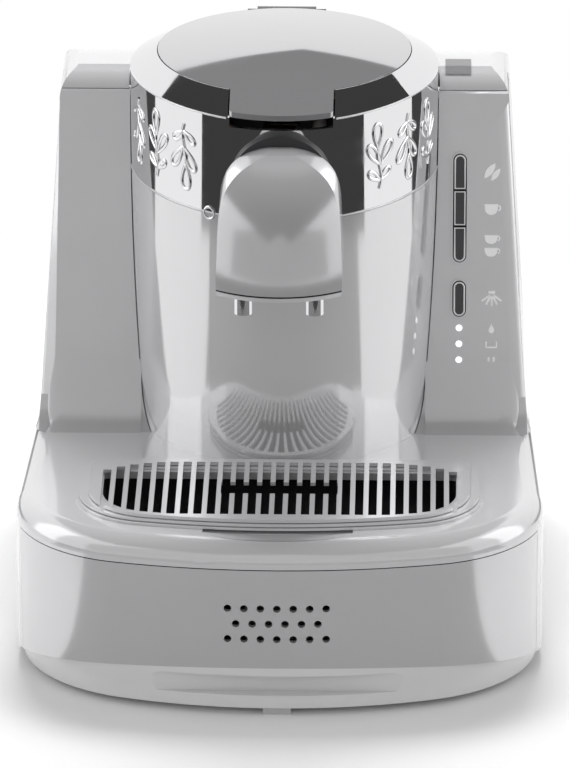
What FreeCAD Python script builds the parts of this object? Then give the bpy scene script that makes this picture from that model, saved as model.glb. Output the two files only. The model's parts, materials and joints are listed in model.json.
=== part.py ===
import FreeCAD, Part
import math
import os
import re
import Sketcher

# Electric Turkish coffee maker: a two-cup automatic brewer built as separate pieces.
# Millimetres, +Z up, the front faces -Y, origin on the table under the middle.

doc = FreeCAD.newDocument("coffee_maker")

# Driving dimensions: name, value (angles in degrees), what it is
dimensions = [
    ("wall", 2.5, "thickness of the moulded casings"),
    ("gap", 0.3, "clearance between pieces that part or move"),
    ("through", 400.0, "length of a cut that goes right through"),
    ("foot_height", 3.0, "rubber feet below the base plate"),
    ("foot_radius", 7.0, "rubber foot"),
    ("foot_stud", 2.0, "stud of a foot, pressed into the plate"),
    ("foot_side", 76.0, "feet to the left and right of the middle"),
    ("foot_front", 70.0, "front feet ahead of the middle"),
    ("foot_back", 92.0, "rear feet behind the middle"),
    ("toe_width", 11.0, "small foot at the middle of the front edge"),
    ("base_depth", 250.0, "base from front to back"),
    ("base_half_width", 105.0, "half the width of the base at its widest"),
    ("front_radius", 262.0, "curve of the front wall in plan"),
    ("corner_radius", 54.0, "front corners of the base in plan"),
    ("side_taper", 2.5, "each side turns in towards the back"),
    ("back_corner", 26.0, "rear corners in plan"),
    ("skirt_half_width", 103.0, "half the width at the base plate's bottom edge"),
    ("skirt_radius", 195.0, "curve of the base plate's front edge"),
    ("skirt_corner", 60.0, "front corners of the base plate's bottom edge"),
    ("skirt_top", 24.0, "height where the base plate's slope meets the wall"),
    ("split_front", 20.0, "height of the base plate's edge at the very front"),
    ("split_side", 8.3, "height of the base plate's edge along the sides"),
    ("split_run", 50.0, "length over which that edge slopes down"),
    ("plate_floor", 2.5, "floor thickness of the base plate"),
    ("plate_rim", 8.5, "width of the base plate's rim"),
    ("grip_half_width", 52.0, "finger recess under the front, half its width"),
    ("grip_low", 8.3, "bottom of the finger recess"),
    ("grip_high", 16.6, "top of the finger recess"),
    ("grip_depth", 5.5, "depth of the finger recess"),
    ("grip_corner", 6.0, "upper corners of the finger recess"),
    ("screw_radius", 3.2, "heads of the base screws"),
    ("screw_shank", 1.5, "shanks of the base screws"),
    ("screw_length", 16.0, "base screws under their heads"),
    ("screw_side", 98.2, "front screws to the left and right"),
    ("screw_front", 40.0, "front screws ahead of the middle"),
    ("screw_back", 88.0, "rear screws behind the middle"),
    ("boss_radius", 4.4, "screw bosses"),
    ("boss_height", 18.0, "screw bosses"),
    ("seam_height", 61.7, "seam between the base wall and the deck"),
    ("deck_height", 71.7, "flat top of the deck"),
    ("deck_round", 8.5, "rounded edge of the deck"),
    ("deck_flange", 6.0, "width of the deck's thick edge"),
    ("deck_skin", 2.2, "thickness of the deck's top"),
    ("tower_ledge", 5.0, "deck inside the tower's outline"),
    ("panel_reach", 44.0, "the front panel ends this far behind the front"),
    ("hole_radius", 1.5, "speaker holes"),
    ("hole_pitch", 6.45, "speaker holes, centre to centre"),
    ("hole_rise", 6.45, "speaker holes, row to row"),
    ("hole_middle", 38.8, "height of the middle row of speaker holes"),
    ("speaker_radius", 14.0, "speaker basket"),
    ("speaker_depth", 11.0, "speaker behind its gasket"),
    ("gasket_width", 3.0, "foam ring round the speaker"),
    ("gasket_depth", 3.0, "foam ring, front to back"),
    ("tray_half_width", 79.5, "drip tray flange, half its width"),
    ("tray_front", 108.0, "drip tray flange ahead of the middle"),
    ("tray_back", 41.0, "rear edge of the tray flange ahead of the middle"),
    ("tray_corner", 30.0, "front corners of the tray"),
    ("tray_back_corner", 11.0, "rear corners of the tray"),
    ("tray_lip", 5.5, "width of the tray's flange"),
    ("tray_wall", 1.8, "wall of the drip tray"),
    ("tray_depth", 19.0, "drip tray below its flange"),
    ("tray_flange", 1.0, "thickness of the tray's flange"),
    ("collar_height", 1.0, "raised collar round the tray"),
    ("collar_width", 1.4, "the collar stands outside the flange"),
    ("finger_gap", 29.5, "gap under the tray's front edge, half its width"),
    ("finger_gap_low", 1.0, "that gap starts this far below the deck's top"),
    ("finger_gap_height", 1.3, "that gap's height"),
    ("scoop_half_width", 32.0, "finger scoop in the deck, half its width"),
    ("scoop_reach", 12.5, "finger scoop, front to back"),
    ("scoop_depth", 2.2, "finger scoop below the collar's top"),
    ("grille_half_width", 75.6, "half the width of the grille plate"),
    ("grille_front", 106.8, "front edge of the grille plate ahead of the middle"),
    ("grille_back", 42.0, "rear edge of the grille plate ahead of the middle"),
    ("grille_corner", 28.0, "front corners of the grille plate"),
    ("grille_back_corner", 9.0, "rear corners of the grille plate"),
    ("grille_thickness", 1.4, "grille plate"),
    ("grille_rib", 4.0, "locating rib under the grille"),
    ("slot_pitch", 5.3, "grille slots, centre to centre"),
    ("slot_width", 3.3, "grille slots"),
    ("slot_front", 101.0, "front end of the longest slots, ahead of the middle"),
    ("slot_back", 45.5, "rear end of the longest slots, ahead of the middle"),
    ("well_front", 79.0, "front edge of the grille's middle opening"),
    ("well_back", 67.0, "rear edge of the grille's middle opening"),
    ("well_half_width", 24.8, "the grille's middle opening, half its width"),
    ("cup_side", 39.5, "cup places to the left and right of the middle"),
    ("cup_ring", 40.0, "the slots end on circles of this radius"),
    ("tower_axis", 33.0, "brewing tower's axis behind the middle"),
    ("tower_half_width", 62.0, "half the width of the tower"),
    ("tower_nose", 73.0, "the tower's nose ahead of its axis"),
    ("nose_radius", 50.0, "curve of the tower's nose in plan"),
    ("band_low", 176.5, "bottom edge of the band"),
    ("band_high", 217.8, "top edge of the band"),
    ("band_shadow", 0.6, "dark joint under the band"),
    ("lid_half_width", 51.0, "half the width of the lid"),
    ("lid_nose", 55.0, "the lid's front ahead of the tower's axis"),
    ("lid_nose_radius", 46.0, "curve of the lid's front in plan"),
    ("lid_edge", 223.5, "height where the shoulder ring meets the lid"),
    ("lid_rise", 3.4, "the lid's dome rises above the shoulder ring"),
    ("lid_thickness", 7.4, "depth of the lid at its middle"),
    ("dome_radius", 435.0, "curve of the lid's dome"),
    ("tab_half_width", 20.5, "lifting tab, half its width"),
    ("tab_overhang", 1.0, "the tab stands over the band"),
    ("tab_corner", 2.5, "corners of the tab"),
    ("tab_thickness", 2.2, "lifting tab"),
    ("finger_notch", 3.8, "finger space in the band under the tab"),
    ("hinge_relief", 0.6, "extra room round the lid where it swings back"),
    ("relief_reach", 20.0, "that room goes this far past the hinge arm"),
    ("arm_thickness", 2.2, "hinge arm of the lid"),
    ("hinge_back", 53.5, "lid hinge behind the tower's axis"),
    ("hinge_height", 221.2, "height of the lid hinge"),
    ("hinge_half_width", 12.0, "half the width of the lid's hinge arm"),
    ("hinge_pin", 1.5, "lid hinge pin"),
    ("knuckle_radius", 2.6, "round end of the lid's hinge arm"),
    ("ear_width", 4.0, "ears that hold the hinge pins"),
    ("liner_radius", 48.0, "lid liner"),
    ("liner_thickness", 2.0, "lid liner"),
    ("seal_radius", 1.4, "section of the lid's seal"),
    ("drum_radius", 57.0, "brewing drum, outside"),
    ("drum_floor", 150.0, "underside of the brewing drum"),
    ("drum_top", 213.0, "top edge of the brewing drum"),
    ("pot_radius", 49.0, "brewing pot, outside"),
    ("pot_floor", 177.0, "underside of the brewing pot"),
    ("pot_top", 204.0, "rim of the brewing pot"),
    ("pot_wall", 1.5, "steel of the brewing pot"),
    ("pot_rim", 54.5, "outer radius of the pot's rim"),
    ("heater_radius", 44.0, "heater plate"),
    ("heater_thickness", 5.0, "heater plate"),
    ("element_radius", 30.0, "ring of the heating element"),
    ("element_section", 3.2, "heating element tube"),
    ("post_radius", 3.0, "posts under the heater plate"),
    ("thermostat_radius", 8.0, "thermostat"),
    ("duct_height", 184.0, "height of the brew outlet"),
    ("duct_radius", 4.5, "brew duct, outside"),
    ("duct_bore", 3.0, "brew duct, inside"),
    ("valve_half_width", 7.0, "brew valve block, half its width"),
    ("valve_half_height", 6.5, "brew valve block, half its height"),
    ("valve_length", 18.0, "brew valve block, front to back"),
    ("plunger_radius", 1.8, "valve plunger"),
    ("plunger_back", 12.6, "plunger ahead of the pot"),
    ("plunger_travel", 2.5, "the plunger lifts this far"),
    ("spring_room", 11.0, "the solenoid sits this far above the valve block"),
    ("spring_wire", 1.0, "wire of the valve spring"),
    ("spring_turns", 4.0, "turns of the valve spring"),
    ("solenoid_half", 5.5, "solenoid, half its width"),
    ("solenoid_height", 9.0, "solenoid"),
    ("collar_radius", 20.0, "round collar behind the spout"),
    ("spout_centre", 193.0, "height of the collar's middle"),
    ("collar_face", 77.5, "front of the collar ahead of the tower's axis"),
    ("spout_low", 161.0, "lower edge of the spout cover"),
    ("spout_high", 209.0, "top of the spout cover"),
    ("spout_half_width", 24.4, "half the width of the spout cover"),
    ("spout_reach", 92.0, "the spout cover's lower edge ahead of the middle"),
    ("spout_root", 50.0, "top of the spout cover ahead of the middle"),
    ("spout_curve", 40.0, "curve of the spout cover in plan"),
    ("spout_wall", 2.2, "wall of the spout cover"),
    ("nozzle_side", 14.0, "nozzles to the left and right of the middle"),
    ("nozzle_radius", 3.65, "nozzles, outside"),
    ("nozzle_bore", 2.2, "nozzles, inside"),
    ("nozzle_low", 152.0, "nozzle tips"),
    ("nozzle_front", 79.0, "nozzles ahead of the middle"),
    ("manifold_height", 8.0, "channel that feeds the nozzles"),
    ("column_foot", 3.0, "foot of the column's face ahead of the middle"),
    ("foot_curve", 32.0, "hollow curve where the face meets the deck"),
    ("face_low", 85.0, "height where the column's flat face begins"),
    ("face_front", 5.0, "the flat face's lower edge behind the middle"),
    ("face_high", 205.0, "height where the flat face ends"),
    ("lean", 13.1, "the face leans back"),
    ("crown_height", 213.0, "top of the column"),
    ("crown_front", 11.0, "the crown begins this far behind the face's top"),
    ("crown_round", 12.0, "rounding of the crown's front"),
    ("crown_back", 56.0, "the crown's level part ends here, behind the middle"),
    ("crown_curve", 40.0, "curve from the crown to the slope"),
    ("crown_slope", 24.0, "the crown slopes down to the back"),
    ("tail_round", 9.0, "rounding of the crown's rear edge"),
    ("column_half_width", 99.0, "half the column's width at the deck"),
    ("column_draft", 3.7, "the column's sides lean in"),
    ("shoulder_round", 12.0, "upper side edges of the column"),
    ("lid_drop", 7.0, "seam of the tank lid below the crown"),
    ("tank_front", 46.0, "front wall of the tank behind the middle"),
    ("tank_back", 119.0, "rear wall of the tank behind the middle"),
    ("tank_half_width", 83.0, "half the width of the tank"),
    ("tank_corner", 22.0, "rear corners of the tank"),
    ("tank_notch_corner", 14.0, "corners of the tank's notch round the tower"),
    ("tank_lid_roll", 1.7, "round rear edge of the tank lid, about its pins"),
    ("window_half_width", 73.0, "rear face of the tank, half its width"),
    ("tank_wall", 2.2, "wall of the tank"),
    ("tank_space", 3.0, "the tank stands clear of the tower"),
    ("tank_margin", 4.0, "the tank's rim lies below the lid's seam"),
    ("shelf_height", 84.0, "underside of the tank shelf"),
    ("seat_back", 108.0, "tank outlet behind the middle"),
    ("seat_radius", 9.0, "tank outlet socket"),
    ("valve_stem", 2.0, "stem of the tank's outlet valve"),
    ("valve_disc", 6.0, "disc of the tank's outlet valve"),
    ("tank_hinge_back", 1.8, "tank lid hinge ahead of the rear face"),
    ("tank_hinge_rise", 2.2, "tank lid hinge above the seam"),
    ("tank_hinge_side", 50.0, "tank lid hinges to the left and right"),
    ("tank_pin", 0.9, "tank lid hinge pins"),
    ("mark_side", 70.0, "dark grip on the tank lid, right of the middle"),
    ("mark_half_width", 5.2, "dark grip, half its width"),
    ("button_side", 71.0, "row of buttons, right of the middle"),
    ("button_width", 4.9, "buttons"),
    ("button_length", 14.2, "buttons"),
    ("button_gap", 0.5, "between neighbouring buttons"),
    ("button_proud", 0.9, "buttons stand out of the face"),
    ("button_depth", 4.2, "buttons behind the face"),
    ("button_travel", 0.8, "buttons press in this far"),
    ("button_start", 138.6, "lower end of the group of three, height"),
    ("clean_start", 117.0, "lower end of the single button, height"),
    ("surround_width", 0.9, "bright frame round the buttons"),
    ("surround_proud", 0.4, "the frames stand out of the face"),
    ("lamp_radius", 1.25, "indicator lamps"),
    ("lamp_start", 99.6, "height of the lowest indicator lamp"),
    ("lamp_pitch", 6.35, "indicator lamps, centre to centre"),
    ("board_thickness", 1.6, "circuit boards"),
    ("pad_thickness", 1.5, "rubber switch pad"),
    ("pump_radius", 16.0, "water pump"),
    ("pump_length", 52.0, "water pump"),
    ("pump_height", 30.0, "height of the pump's axis"),
    ("pump_back", 88.0, "rear end of the pump behind the middle"),
    ("hose_radius", 3.0, "hoses, outside"),
    ("hose_bore", 2.0, "hoses, inside"),
    ("hose_bend", 12.0, "bends of the hoses"),
    ("hose_side", 15.0, "rising hose, right of the middle"),
    ("hose_front", 61.5, "rising hose ahead of the tower's axis"),
    ("gland_side", 48.0, "cord outlet, left of the middle"),
    ("gland_height", 28.0, "height of the cord outlet"),
    ("gland_radius", 5.0, "cord outlet"),
    ("gland_bore", 3.3, "bore of the cord outlet"),
]

sizes = doc.addObject("Spreadsheet::Sheet", "sizes")
derived = doc.addObject("Spreadsheet::Sheet", "derived")
sheet_of = {}
for row, (alias, value, meaning) in enumerate(dimensions, 1):
    sizes.set(f"A{row}", alias)
    sizes.set(f"B{row}", str(value))
    sizes.set(f"C{row}", meaning)
    sizes.setAlias(f"B{row}", alias)
    sheet_of[alias] = "sizes."
sizes.recompute()


def formula(text):
    # an expression in plain names becomes one that refers to the sheets
    return re.sub(r"[a-z_][a-z_0-9]*", lambda word: sheet_of.get(word[0], "") + word[0], str(text))


def number(text):
    return float(sizes.evalExpression(formula(text)))


def derive(alias, text):
    # a place worked out from the driving dimensions, kept in the second sheet
    row = len(sheet_of)
    derived.set(f"A{row}", alias)
    derived.set(f"B{row}", "=" + formula(text))
    derived.setAlias(f"B{row}", alias)
    derived.recompute()
    sheet_of[alias] = "derived."


def bind(thing, **properties):
    for name, text in properties.items():
        thing.setExpression(name.replace("__", "."), formula(text))
    return thing


# Sketches and features

def new_body(name):
    return doc.addObject("PartDesign::Body", name)


def arc_between(start, end, radius, hollow):
    chord = end - start
    side = FreeCAD.Vector(-chord.y, chord.x, 0).normalize()
    rise = math.sqrt(max(radius ** 2 - (chord.Length / 2) ** 2, 0.0))
    centre = (start + end) / 2 + side * (-rise if hollow else rise)
    first, last = (end, start) if hollow else (start, end)
    angles = [math.atan2(point.y - centre.y, point.x - centre.x) for point in (first, last)]
    circle = Part.Circle(centre, FreeCAD.Vector(0, 0, 1), radius)
    return Part.ArcOfCircle(circle, angles[0], angles[1])


def draw_loop(sketch, points):
    # a point is (across, up), (across, up, radius) or (across, up, radius, "hollow"):
    # the radius bends the stretch that follows it
    corners = [FreeCAD.Vector(number(point[0]), number(point[1]), 0) for point in points]
    first = sketch.GeometryCount
    stretches = []
    for index, point in enumerate(points):
        start, end = corners[index], corners[(index + 1) % len(points)]
        if len(point) > 2:
            hollow = len(point) > 3
            shape = arc_between(start, end, number(point[2]), hollow)
            stretches.append((shape, 2 if hollow else 1, 1 if hollow else 2))
        else:
            stretches.append((Part.LineSegment(start, end), 1, 2))
    sketch.addGeometry([shape for shape, head, tail in stretches], False)
    for index, point in enumerate(points):
        here, after = first + index, first + (index + 1) % len(points)
        head, tail = stretches[index][1], stretches[index][2]
        next_head = stretches[(index + 1) % len(points)][1]
        sketch.addConstraint(Sketcher.Constraint("Coincident", here, tail, after, next_head))
        set_place(sketch, here, head, point[0], point[1])
        if len(point) > 2:
            name = f"bend{here}"
            size = sketch.addConstraint(Sketcher.Constraint("Radius", here, number(point[2])))
            sketch.renameConstraint(size, name)
            sketch.setExpression("Constraints." + name, formula(point[2]))


def set_place(sketch, shape, end, across, up):
    for kind, name, text in (("DistanceX", "across", across), ("DistanceY", "up", up)):
        place = sketch.addConstraint(Sketcher.Constraint(kind, -1, 1, shape, end, number(text)))
        sketch.renameConstraint(place, f"{name}{shape}")
        sketch.setExpression(f"Constraints.{name}{shape}", formula(text))


def draw_circle(sketch, across, up, radius):
    centre = FreeCAD.Vector(number(across), number(up), 0)
    circle = Part.Circle(centre, FreeCAD.Vector(0, 0, 1), number(radius))
    shape = sketch.addGeometry(circle, False)
    set_place(sketch, shape, 3, across, up)
    size = sketch.addConstraint(Sketcher.Constraint("Radius", shape, number(radius)))
    sketch.renameConstraint(size, f"round{shape}")
    sketch.setExpression(f"Constraints.round{shape}", formula(radius))


def draw(body, name, plane, loops=(), offset="0", circles=()):
    sketch = body.newObject("Sketcher::SketchObject", f"{body.Name}_{name}")
    support = [item for item in body.Origin.OriginFeatures if item.Role == plane + "_Plane"][0]
    sketch.AttachmentSupport = (support, [""])
    sketch.MapMode = "FlatFace"
    for loop in loops:
        draw_loop(sketch, loop)
    for across, up, radius in circles:
        draw_circle(sketch, across, up, radius)
    sketch.setExpression("AttachmentOffset.Base.z", formula(offset))
    return sketch


def feature(body, kind, sketch, length, symmetric=False, backwards=False):
    step = body.newObject("PartDesign::" + kind, f"{sketch.Name}_{kind.lower()}")
    step.Profile = sketch
    step.SideType = "Symmetric" if symmetric else "One side"
    step.Reversed = backwards
    return bind(step, Length=length)


def pad(body, sketch, length, **choices):
    return feature(body, "Pad", sketch, length, **choices)


def pocket(body, sketch, length, **choices):
    return feature(body, "Pocket", sketch, length, **choices)


def revolve(body, sketch):
    step = body.newObject("PartDesign::Revolution", sketch.Name + "_turned")
    step.Profile = sketch
    step.ReferenceAxis = (sketch, ["V_Axis"])
    step.Angle = 360
    return step


def loft(body, sketches, kind="AdditiveLoft", ruled=False):
    step = body.newObject("PartDesign::" + kind, f"{sketches[0].Name}_{kind.lower()}")
    step.Profile = sketches[0]
    step.Sections = sketches[1:]
    step.Ruled = ruled
    return step


def fillet(body, radius, chosen):
    doc.recompute()
    base = body.Tip
    edges = [f"Edge{n}" for n, edge in enumerate(base.Shape.Edges, 1) if chosen(edge.BoundBox)]
    step = body.newObject("PartDesign::Fillet", base.Name + "_round")
    step.Base = (base, edges)
    return bind(step, Radius=radius)


# Primitives and booleans: every size and place is an expression

def block(name, across, along, up):
    shape = doc.addObject("Part::Box", name)
    bind(shape, Length=f"({across[1]}) - ({across[0]})", Width=f"({along[1]}) - ({along[0]})")
    bind(shape, Height=f"({up[1]}) - ({up[0]})", Placement__Base__x=across[0])
    return bind(shape, Placement__Base__y=along[0], Placement__Base__z=up[0])


turns = {
    "z": FreeCAD.Rotation(),
    "y": FreeCAD.Rotation(FreeCAD.Vector(1, 0, 0), -90),
    "x": FreeCAD.Rotation(FreeCAD.Vector(0, 1, 0), 90),
}


def rod(name, centre, radius, length, axis="z"):
    shape = doc.addObject("Part::Cylinder", name)
    shape.Placement = FreeCAD.Placement(FreeCAD.Vector(), turns[axis])
    bind(shape, Radius=radius, Height=length, Placement__Base__x=centre[0])
    return bind(shape, Placement__Base__y=centre[1], Placement__Base__z=centre[2])


def fuse(name, *shapes):
    whole = doc.addObject("Part::MultiFuse", name)
    whole.Shapes = list(shapes)
    return whole


def cut(name, base, *tools):
    result = doc.addObject("Part::Cut", name)
    result.Base = base
    result.Tool = tools[0] if len(tools) == 1 else fuse(name + "_tools", *tools)
    return result


def common(name, first, second):
    result = doc.addObject("Part::Common", name)
    result.Base = first
    result.Tool = second
    return result


def group(name, *solids):
    whole = doc.addObject("Part::Compound", name)
    whole.Links = list(solids)
    return whole


nodes = []


def keep(label, shape):
    shape.Label = label
    nodes.append(shape)
    return shape


# Outlines that several pieces share

def both_sides(right, front=()):
    # the right half from front to back, then its mirror image from back to front
    left = []
    for index in reversed(range(len(right))):
        across, along = right[index][:2]
        bend = right[index - 1][2:] if index else front
        left.append((f"-({across})", along) + bend)
    return right + left


def rounded_plan(name, half_width, front, back, front_curve, corner, back_corner, taper="0"):
    # bowed front, round corners, sides that turn in: returns the outline at any inset
    derive(name + "_corner_x", f"{half_width} - {corner}")
    derive(name + "_angle", f"asin({name}_corner_x / ({front_curve} - {corner}))")
    reach = f"({front_curve} - {corner}) * cos({name}_angle)"
    derive(name + "_corner_y", f"{front} + {front_curve} - {reach}")
    derive(name + "_back_y", f"{back} - {back_corner}")
    run = f"({name}_back_y - {name}_corner_y - ({corner} - {back_corner}) * sin({taper}))"
    shift = f"({corner} - {back_corner}) * cos({taper}) - {run} * tan({taper})"
    derive(name + "_back_x", f"{name}_corner_x + {shift}")

    def plan(inset="0"):
        bend, tail = f"({corner} - ({inset}))", f"({back_corner} - ({inset}))"
        x, y, back_x, back_y = (f"{name}_{part}" for part in ("corner_x", "corner_y", "back_x", "back_y"))
        right = [
            (f"{x} + {bend} * sin({name}_angle)", f"{y} - {bend} * cos({name}_angle)", bend),
            (f"{x} + {bend} * cos({taper})", f"{y} + {bend} * sin({taper})"),
            (f"{back_x} + {tail} * cos({taper})", f"{back_y} + {tail} * sin({taper})", tail),
            (back_x, f"{back_y} + {tail}"),
        ]
        return both_sides(right, (f"{front_curve} - ({inset})",))

    return plan


def oval_plan(name, half_width, nose, nose_curve):
    # round behind the tower's axis, drawn out to a nose in front of it
    derive(name + "_nose_y", f"tower_axis - {nose} + {nose_curve}")
    run = f"(tower_axis - {name}_nose_y)"
    derive(name + "_side", f"({run}^2 + {half_width}^2 - {nose_curve}^2) / (2 * ({half_width} - {nose_curve}))")
    derive(name + "_sine", f"({name}_side - {half_width}) / ({name}_side - {nose_curve})")
    derive(name + "_cosine", f"{run} / ({name}_side - {nose_curve})")

    def plan(inset="0"):
        tip, side = f"({nose_curve} - ({inset}))", f"{name}_side - ({inset})"
        wide = f"({half_width} - ({inset}))"
        front_x, front_y = f"{tip} * {name}_sine", f"{name}_nose_y - {tip} * {name}_cosine"
        return [
            (front_x, front_y, side), (wide, "tower_axis", wide),
            ("0", f"tower_axis + {wide}", wide), (f"-{wide}", "tower_axis", side),
            (f"-({front_x})", front_y, tip),
        ]

    return plan


def frame_round(loop, reach="through"):
    # a wide square round an outline: what a cut takes off outside it
    square = [(f"-{reach}", f"-{reach}"), (reach, f"-{reach}"), (reach, reach), (f"-{reach}", reach)]
    return [square, loop]


base_plan = rounded_plan("base", "base_half_width", "-base_depth / 2", "base_depth / 2",
                         "front_radius", "corner_radius", "back_corner", "side_taper")
skirt_plan = rounded_plan("skirt", "skirt_half_width", "-base_depth / 2", "base_depth / 2 - gap",
                          "skirt_radius", "skirt_corner", "back_corner", "side_taper")
tray_plan = rounded_plan("tray", "tray_half_width", "-tray_front", "-tray_back",
                         "front_radius", "tray_corner", "tray_back_corner")
grille_plan = rounded_plan("grille", "grille_half_width", "-grille_front", "-grille_back",
                           "front_radius", "grille_corner", "grille_back_corner")
tower_plan = oval_plan("tower", "tower_half_width", "tower_nose", "nose_radius")
lid_plan = oval_plan("lid", "lid_half_width", "lid_nose", "lid_nose_radius")

derive("face_top_y", "face_front + (face_high - face_low) * tan(lean)")
derive("slope_start_y", "crown_back + crown_curve * sin(crown_slope)")
derive("slope_start_z", "crown_height - crown_curve * (1 - cos(crown_slope))")
derive("tail_y", "base_depth / 2 - tail_round * (1 - sin(crown_slope))")
derive("tail_z", "slope_start_z - (tail_y - slope_start_y) * tan(crown_slope)")
derive("seam_z", "crown_height - lid_drop")
derive("plate_top", "foot_height + plate_floor")
derive("rim_top", "lid_edge + lid_rise")
derive("tray_seat", "deck_height + collar_height + gap")
derive("grille_seat", "tray_seat + tray_flange + gap")
derive("pot_front", "tower_axis - pot_radius")


# Base: plate, feet, wall, front panel, deck

def below_split(body, name, shift="0"):
    # side view of all that lies under the arched edge between base plate and wall
    front, run = "-base_depth / 2", "(-base_depth / 2 + split_run)"
    return draw(body, name, "YZ", [[
        (f"{front} - split_run", "-through"), ("through", "-through"),
        ("through", f"split_side + {shift}"), (run, f"split_side + {shift}"),
        (front, f"split_front + {shift}"), (f"{front} - split_run", f"split_front + {shift}"),
    ]])


def make_base_plate():
    body = new_body("base_plate")
    low = draw(body, "low", "XY", [skirt_plan()], "foot_height")
    high = draw(body, "high", "XY", [base_plan()], "skirt_top")
    loft(body, [low, high])
    pocket(body, draw(body, "hollow", "XY", [base_plan("plate_rim")], "skirt_top"),
           "skirt_top - plate_top")
    top = draw(body, "top", "YZ", [[
        ("through", "split_side"), ("through", "through"), ("-base_depth / 2 - split_run", "through"),
        ("-base_depth / 2 - split_run", "split_front"), ("-base_depth / 2", "split_front"),
        ("-base_depth / 2 + split_run", "split_side"),
    ]])
    pocket(body, top, "through", symmetric=True)
    side, corner = "grip_half_width - grip_corner", "grip_corner"
    grip = draw(body, "grip", "XZ", [[
        ("-grip_half_width", "grip_low"), ("grip_half_width", "grip_low"),
        ("grip_half_width - 1", f"grip_high - {corner}", corner), (f"{side} - 1", "grip_high"),
        (f"-({side} - 1)", "grip_high", corner),
        ("-(grip_half_width - 1)", f"grip_high - {corner}"),
    ]], "base_depth / 2")
    pocket(body, grip, "grip_depth", backwards=False)
    holes = [(x, y, "foot_stud") for x, y in foot_spots()]
    holes += [(x, y, "screw_shank") for x, y in screw_spots()]
    pocket(body, draw(body, "studs", "XY", offset="skirt_top", circles=holes), "skirt_top")
    return keep("base_plate", body)


def foot_spots():
    return [(f"{side} foot_side", along) for side in ("-", "1 *") for along in ("-foot_front", "foot_back")]


def screw_spots():
    back_side = "(screw_side - (screw_front + screw_back) * tan(side_taper))"
    return [(f"{side} {across}", along) for side in ("-", "1 *")
            for across, along in (("screw_side", "-screw_front"), (back_side, "screw_back"))]


def make_rubber_feet():
    feet = []
    for index, (x, y) in enumerate(foot_spots()):
        pad_part = rod(f"foot_pad{index}", (x, y, "0"), "foot_radius", "foot_height")
        stud = rod(f"foot_stud{index}", (x, y, "0"), "foot_stud", "plate_top")
        feet.append(fuse(f"foot{index}", pad_part, stud))
    front = "-base_depth / 2"
    toe = block("toe", ("-toe_width / 2", "toe_width / 2"), (f"{front} + 1", f"{front} + 8"),
                ("0", "foot_height"))
    return keep("rubber_feet", group("rubber_feet", *feet, toe))


def wall_ring(name):
    # the wall between the base plate's edge and the deck, still in one piece
    body = new_body(name)
    ring = draw(body, "ring", "XY", [base_plan(), base_plan("wall")], "split_side")
    pad(body, ring, "seam_height - split_side")
    pocket(body, below_split(body, "arch"), "through", symmetric=True)
    return body


def make_lower_housing():
    body = wall_ring("lower_housing")
    front = draw(body, "front", "XY", [[
        ("-through", "-through"), ("through", "-through"),
        ("through", "-base_depth / 2 + panel_reach"), ("-through", "-base_depth / 2 + panel_reach"),
    ]], "seam_height")
    pocket(body, front, "seam_height")
    spots = screw_spots()
    pad(body, draw(body, "bosses", "XY", offset="split_side",
                   circles=[(x, y, "boss_radius") for x, y in spots]), "boss_height")
    pocket(body, draw(body, "threads", "XY", offset="split_side + boss_height",
                      circles=[(x, y, "screw_shank") for x, y in spots]), "boss_height")
    outlet = draw(body, "outlet", "XZ", offset="-base_depth / 2",
                  circles=[("-gland_side", "gland_height", "gland_radius")])
    pocket(body, outlet, "2 * wall", backwards=True)
    return keep("lower_housing", body)


def make_front_panel():
    body = wall_ring("front_panel")
    back = draw(body, "back", "XY", [[
        ("-through", "-base_depth / 2 + panel_reach - gap"),
        ("through", "-base_depth / 2 + panel_reach - gap"), ("through", "through"),
        ("-through", "through"),
    ]], "seam_height")
    pocket(body, back, "seam_height")
    spots = []
    for row, count in ((1, 7), (0, 6), (-1, 7)):
        for place in range(count):
            across = f"({place} - {(count - 1) / 2}) * hole_pitch"
            spots.append((across, f"hole_middle + {row} * hole_rise", "hole_radius"))
    holes = draw(body, "holes", "XZ", offset="base_depth / 2 + 1", circles=spots)
    pocket(body, holes, "4 * wall", backwards=False)
    return keep("front_panel", body)


def make_speaker():
    front = "-base_depth / 2 + wall"
    back = f"({front} + gasket_depth)"
    basket = rod("basket", ("0", back, "hole_middle"), "speaker_radius", "3", "y")
    magnet = rod("magnet", ("0", f"{back} + 3", "hole_middle"), "0.6 * speaker_radius",
                 "speaker_depth - 3", "y")
    keep("speaker", fuse("speaker", basket, magnet))
    ring = new_body("speaker_gasket")
    middle = ("0", "hole_middle")
    outline = draw(ring, "ring", "XZ", offset=f"1 - ({front})",
                   circles=[(*middle, "speaker_radius"), (*middle, "speaker_radius - gasket_width")])
    pad(ring, outline, "gasket_depth + 1", backwards=True)
    outside = draw(ring, "outside", "XY", frame_round(base_plan("wall")), "seam_height")
    pocket(ring, outside, "seam_height")
    keep("speaker_gasket", ring)


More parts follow.
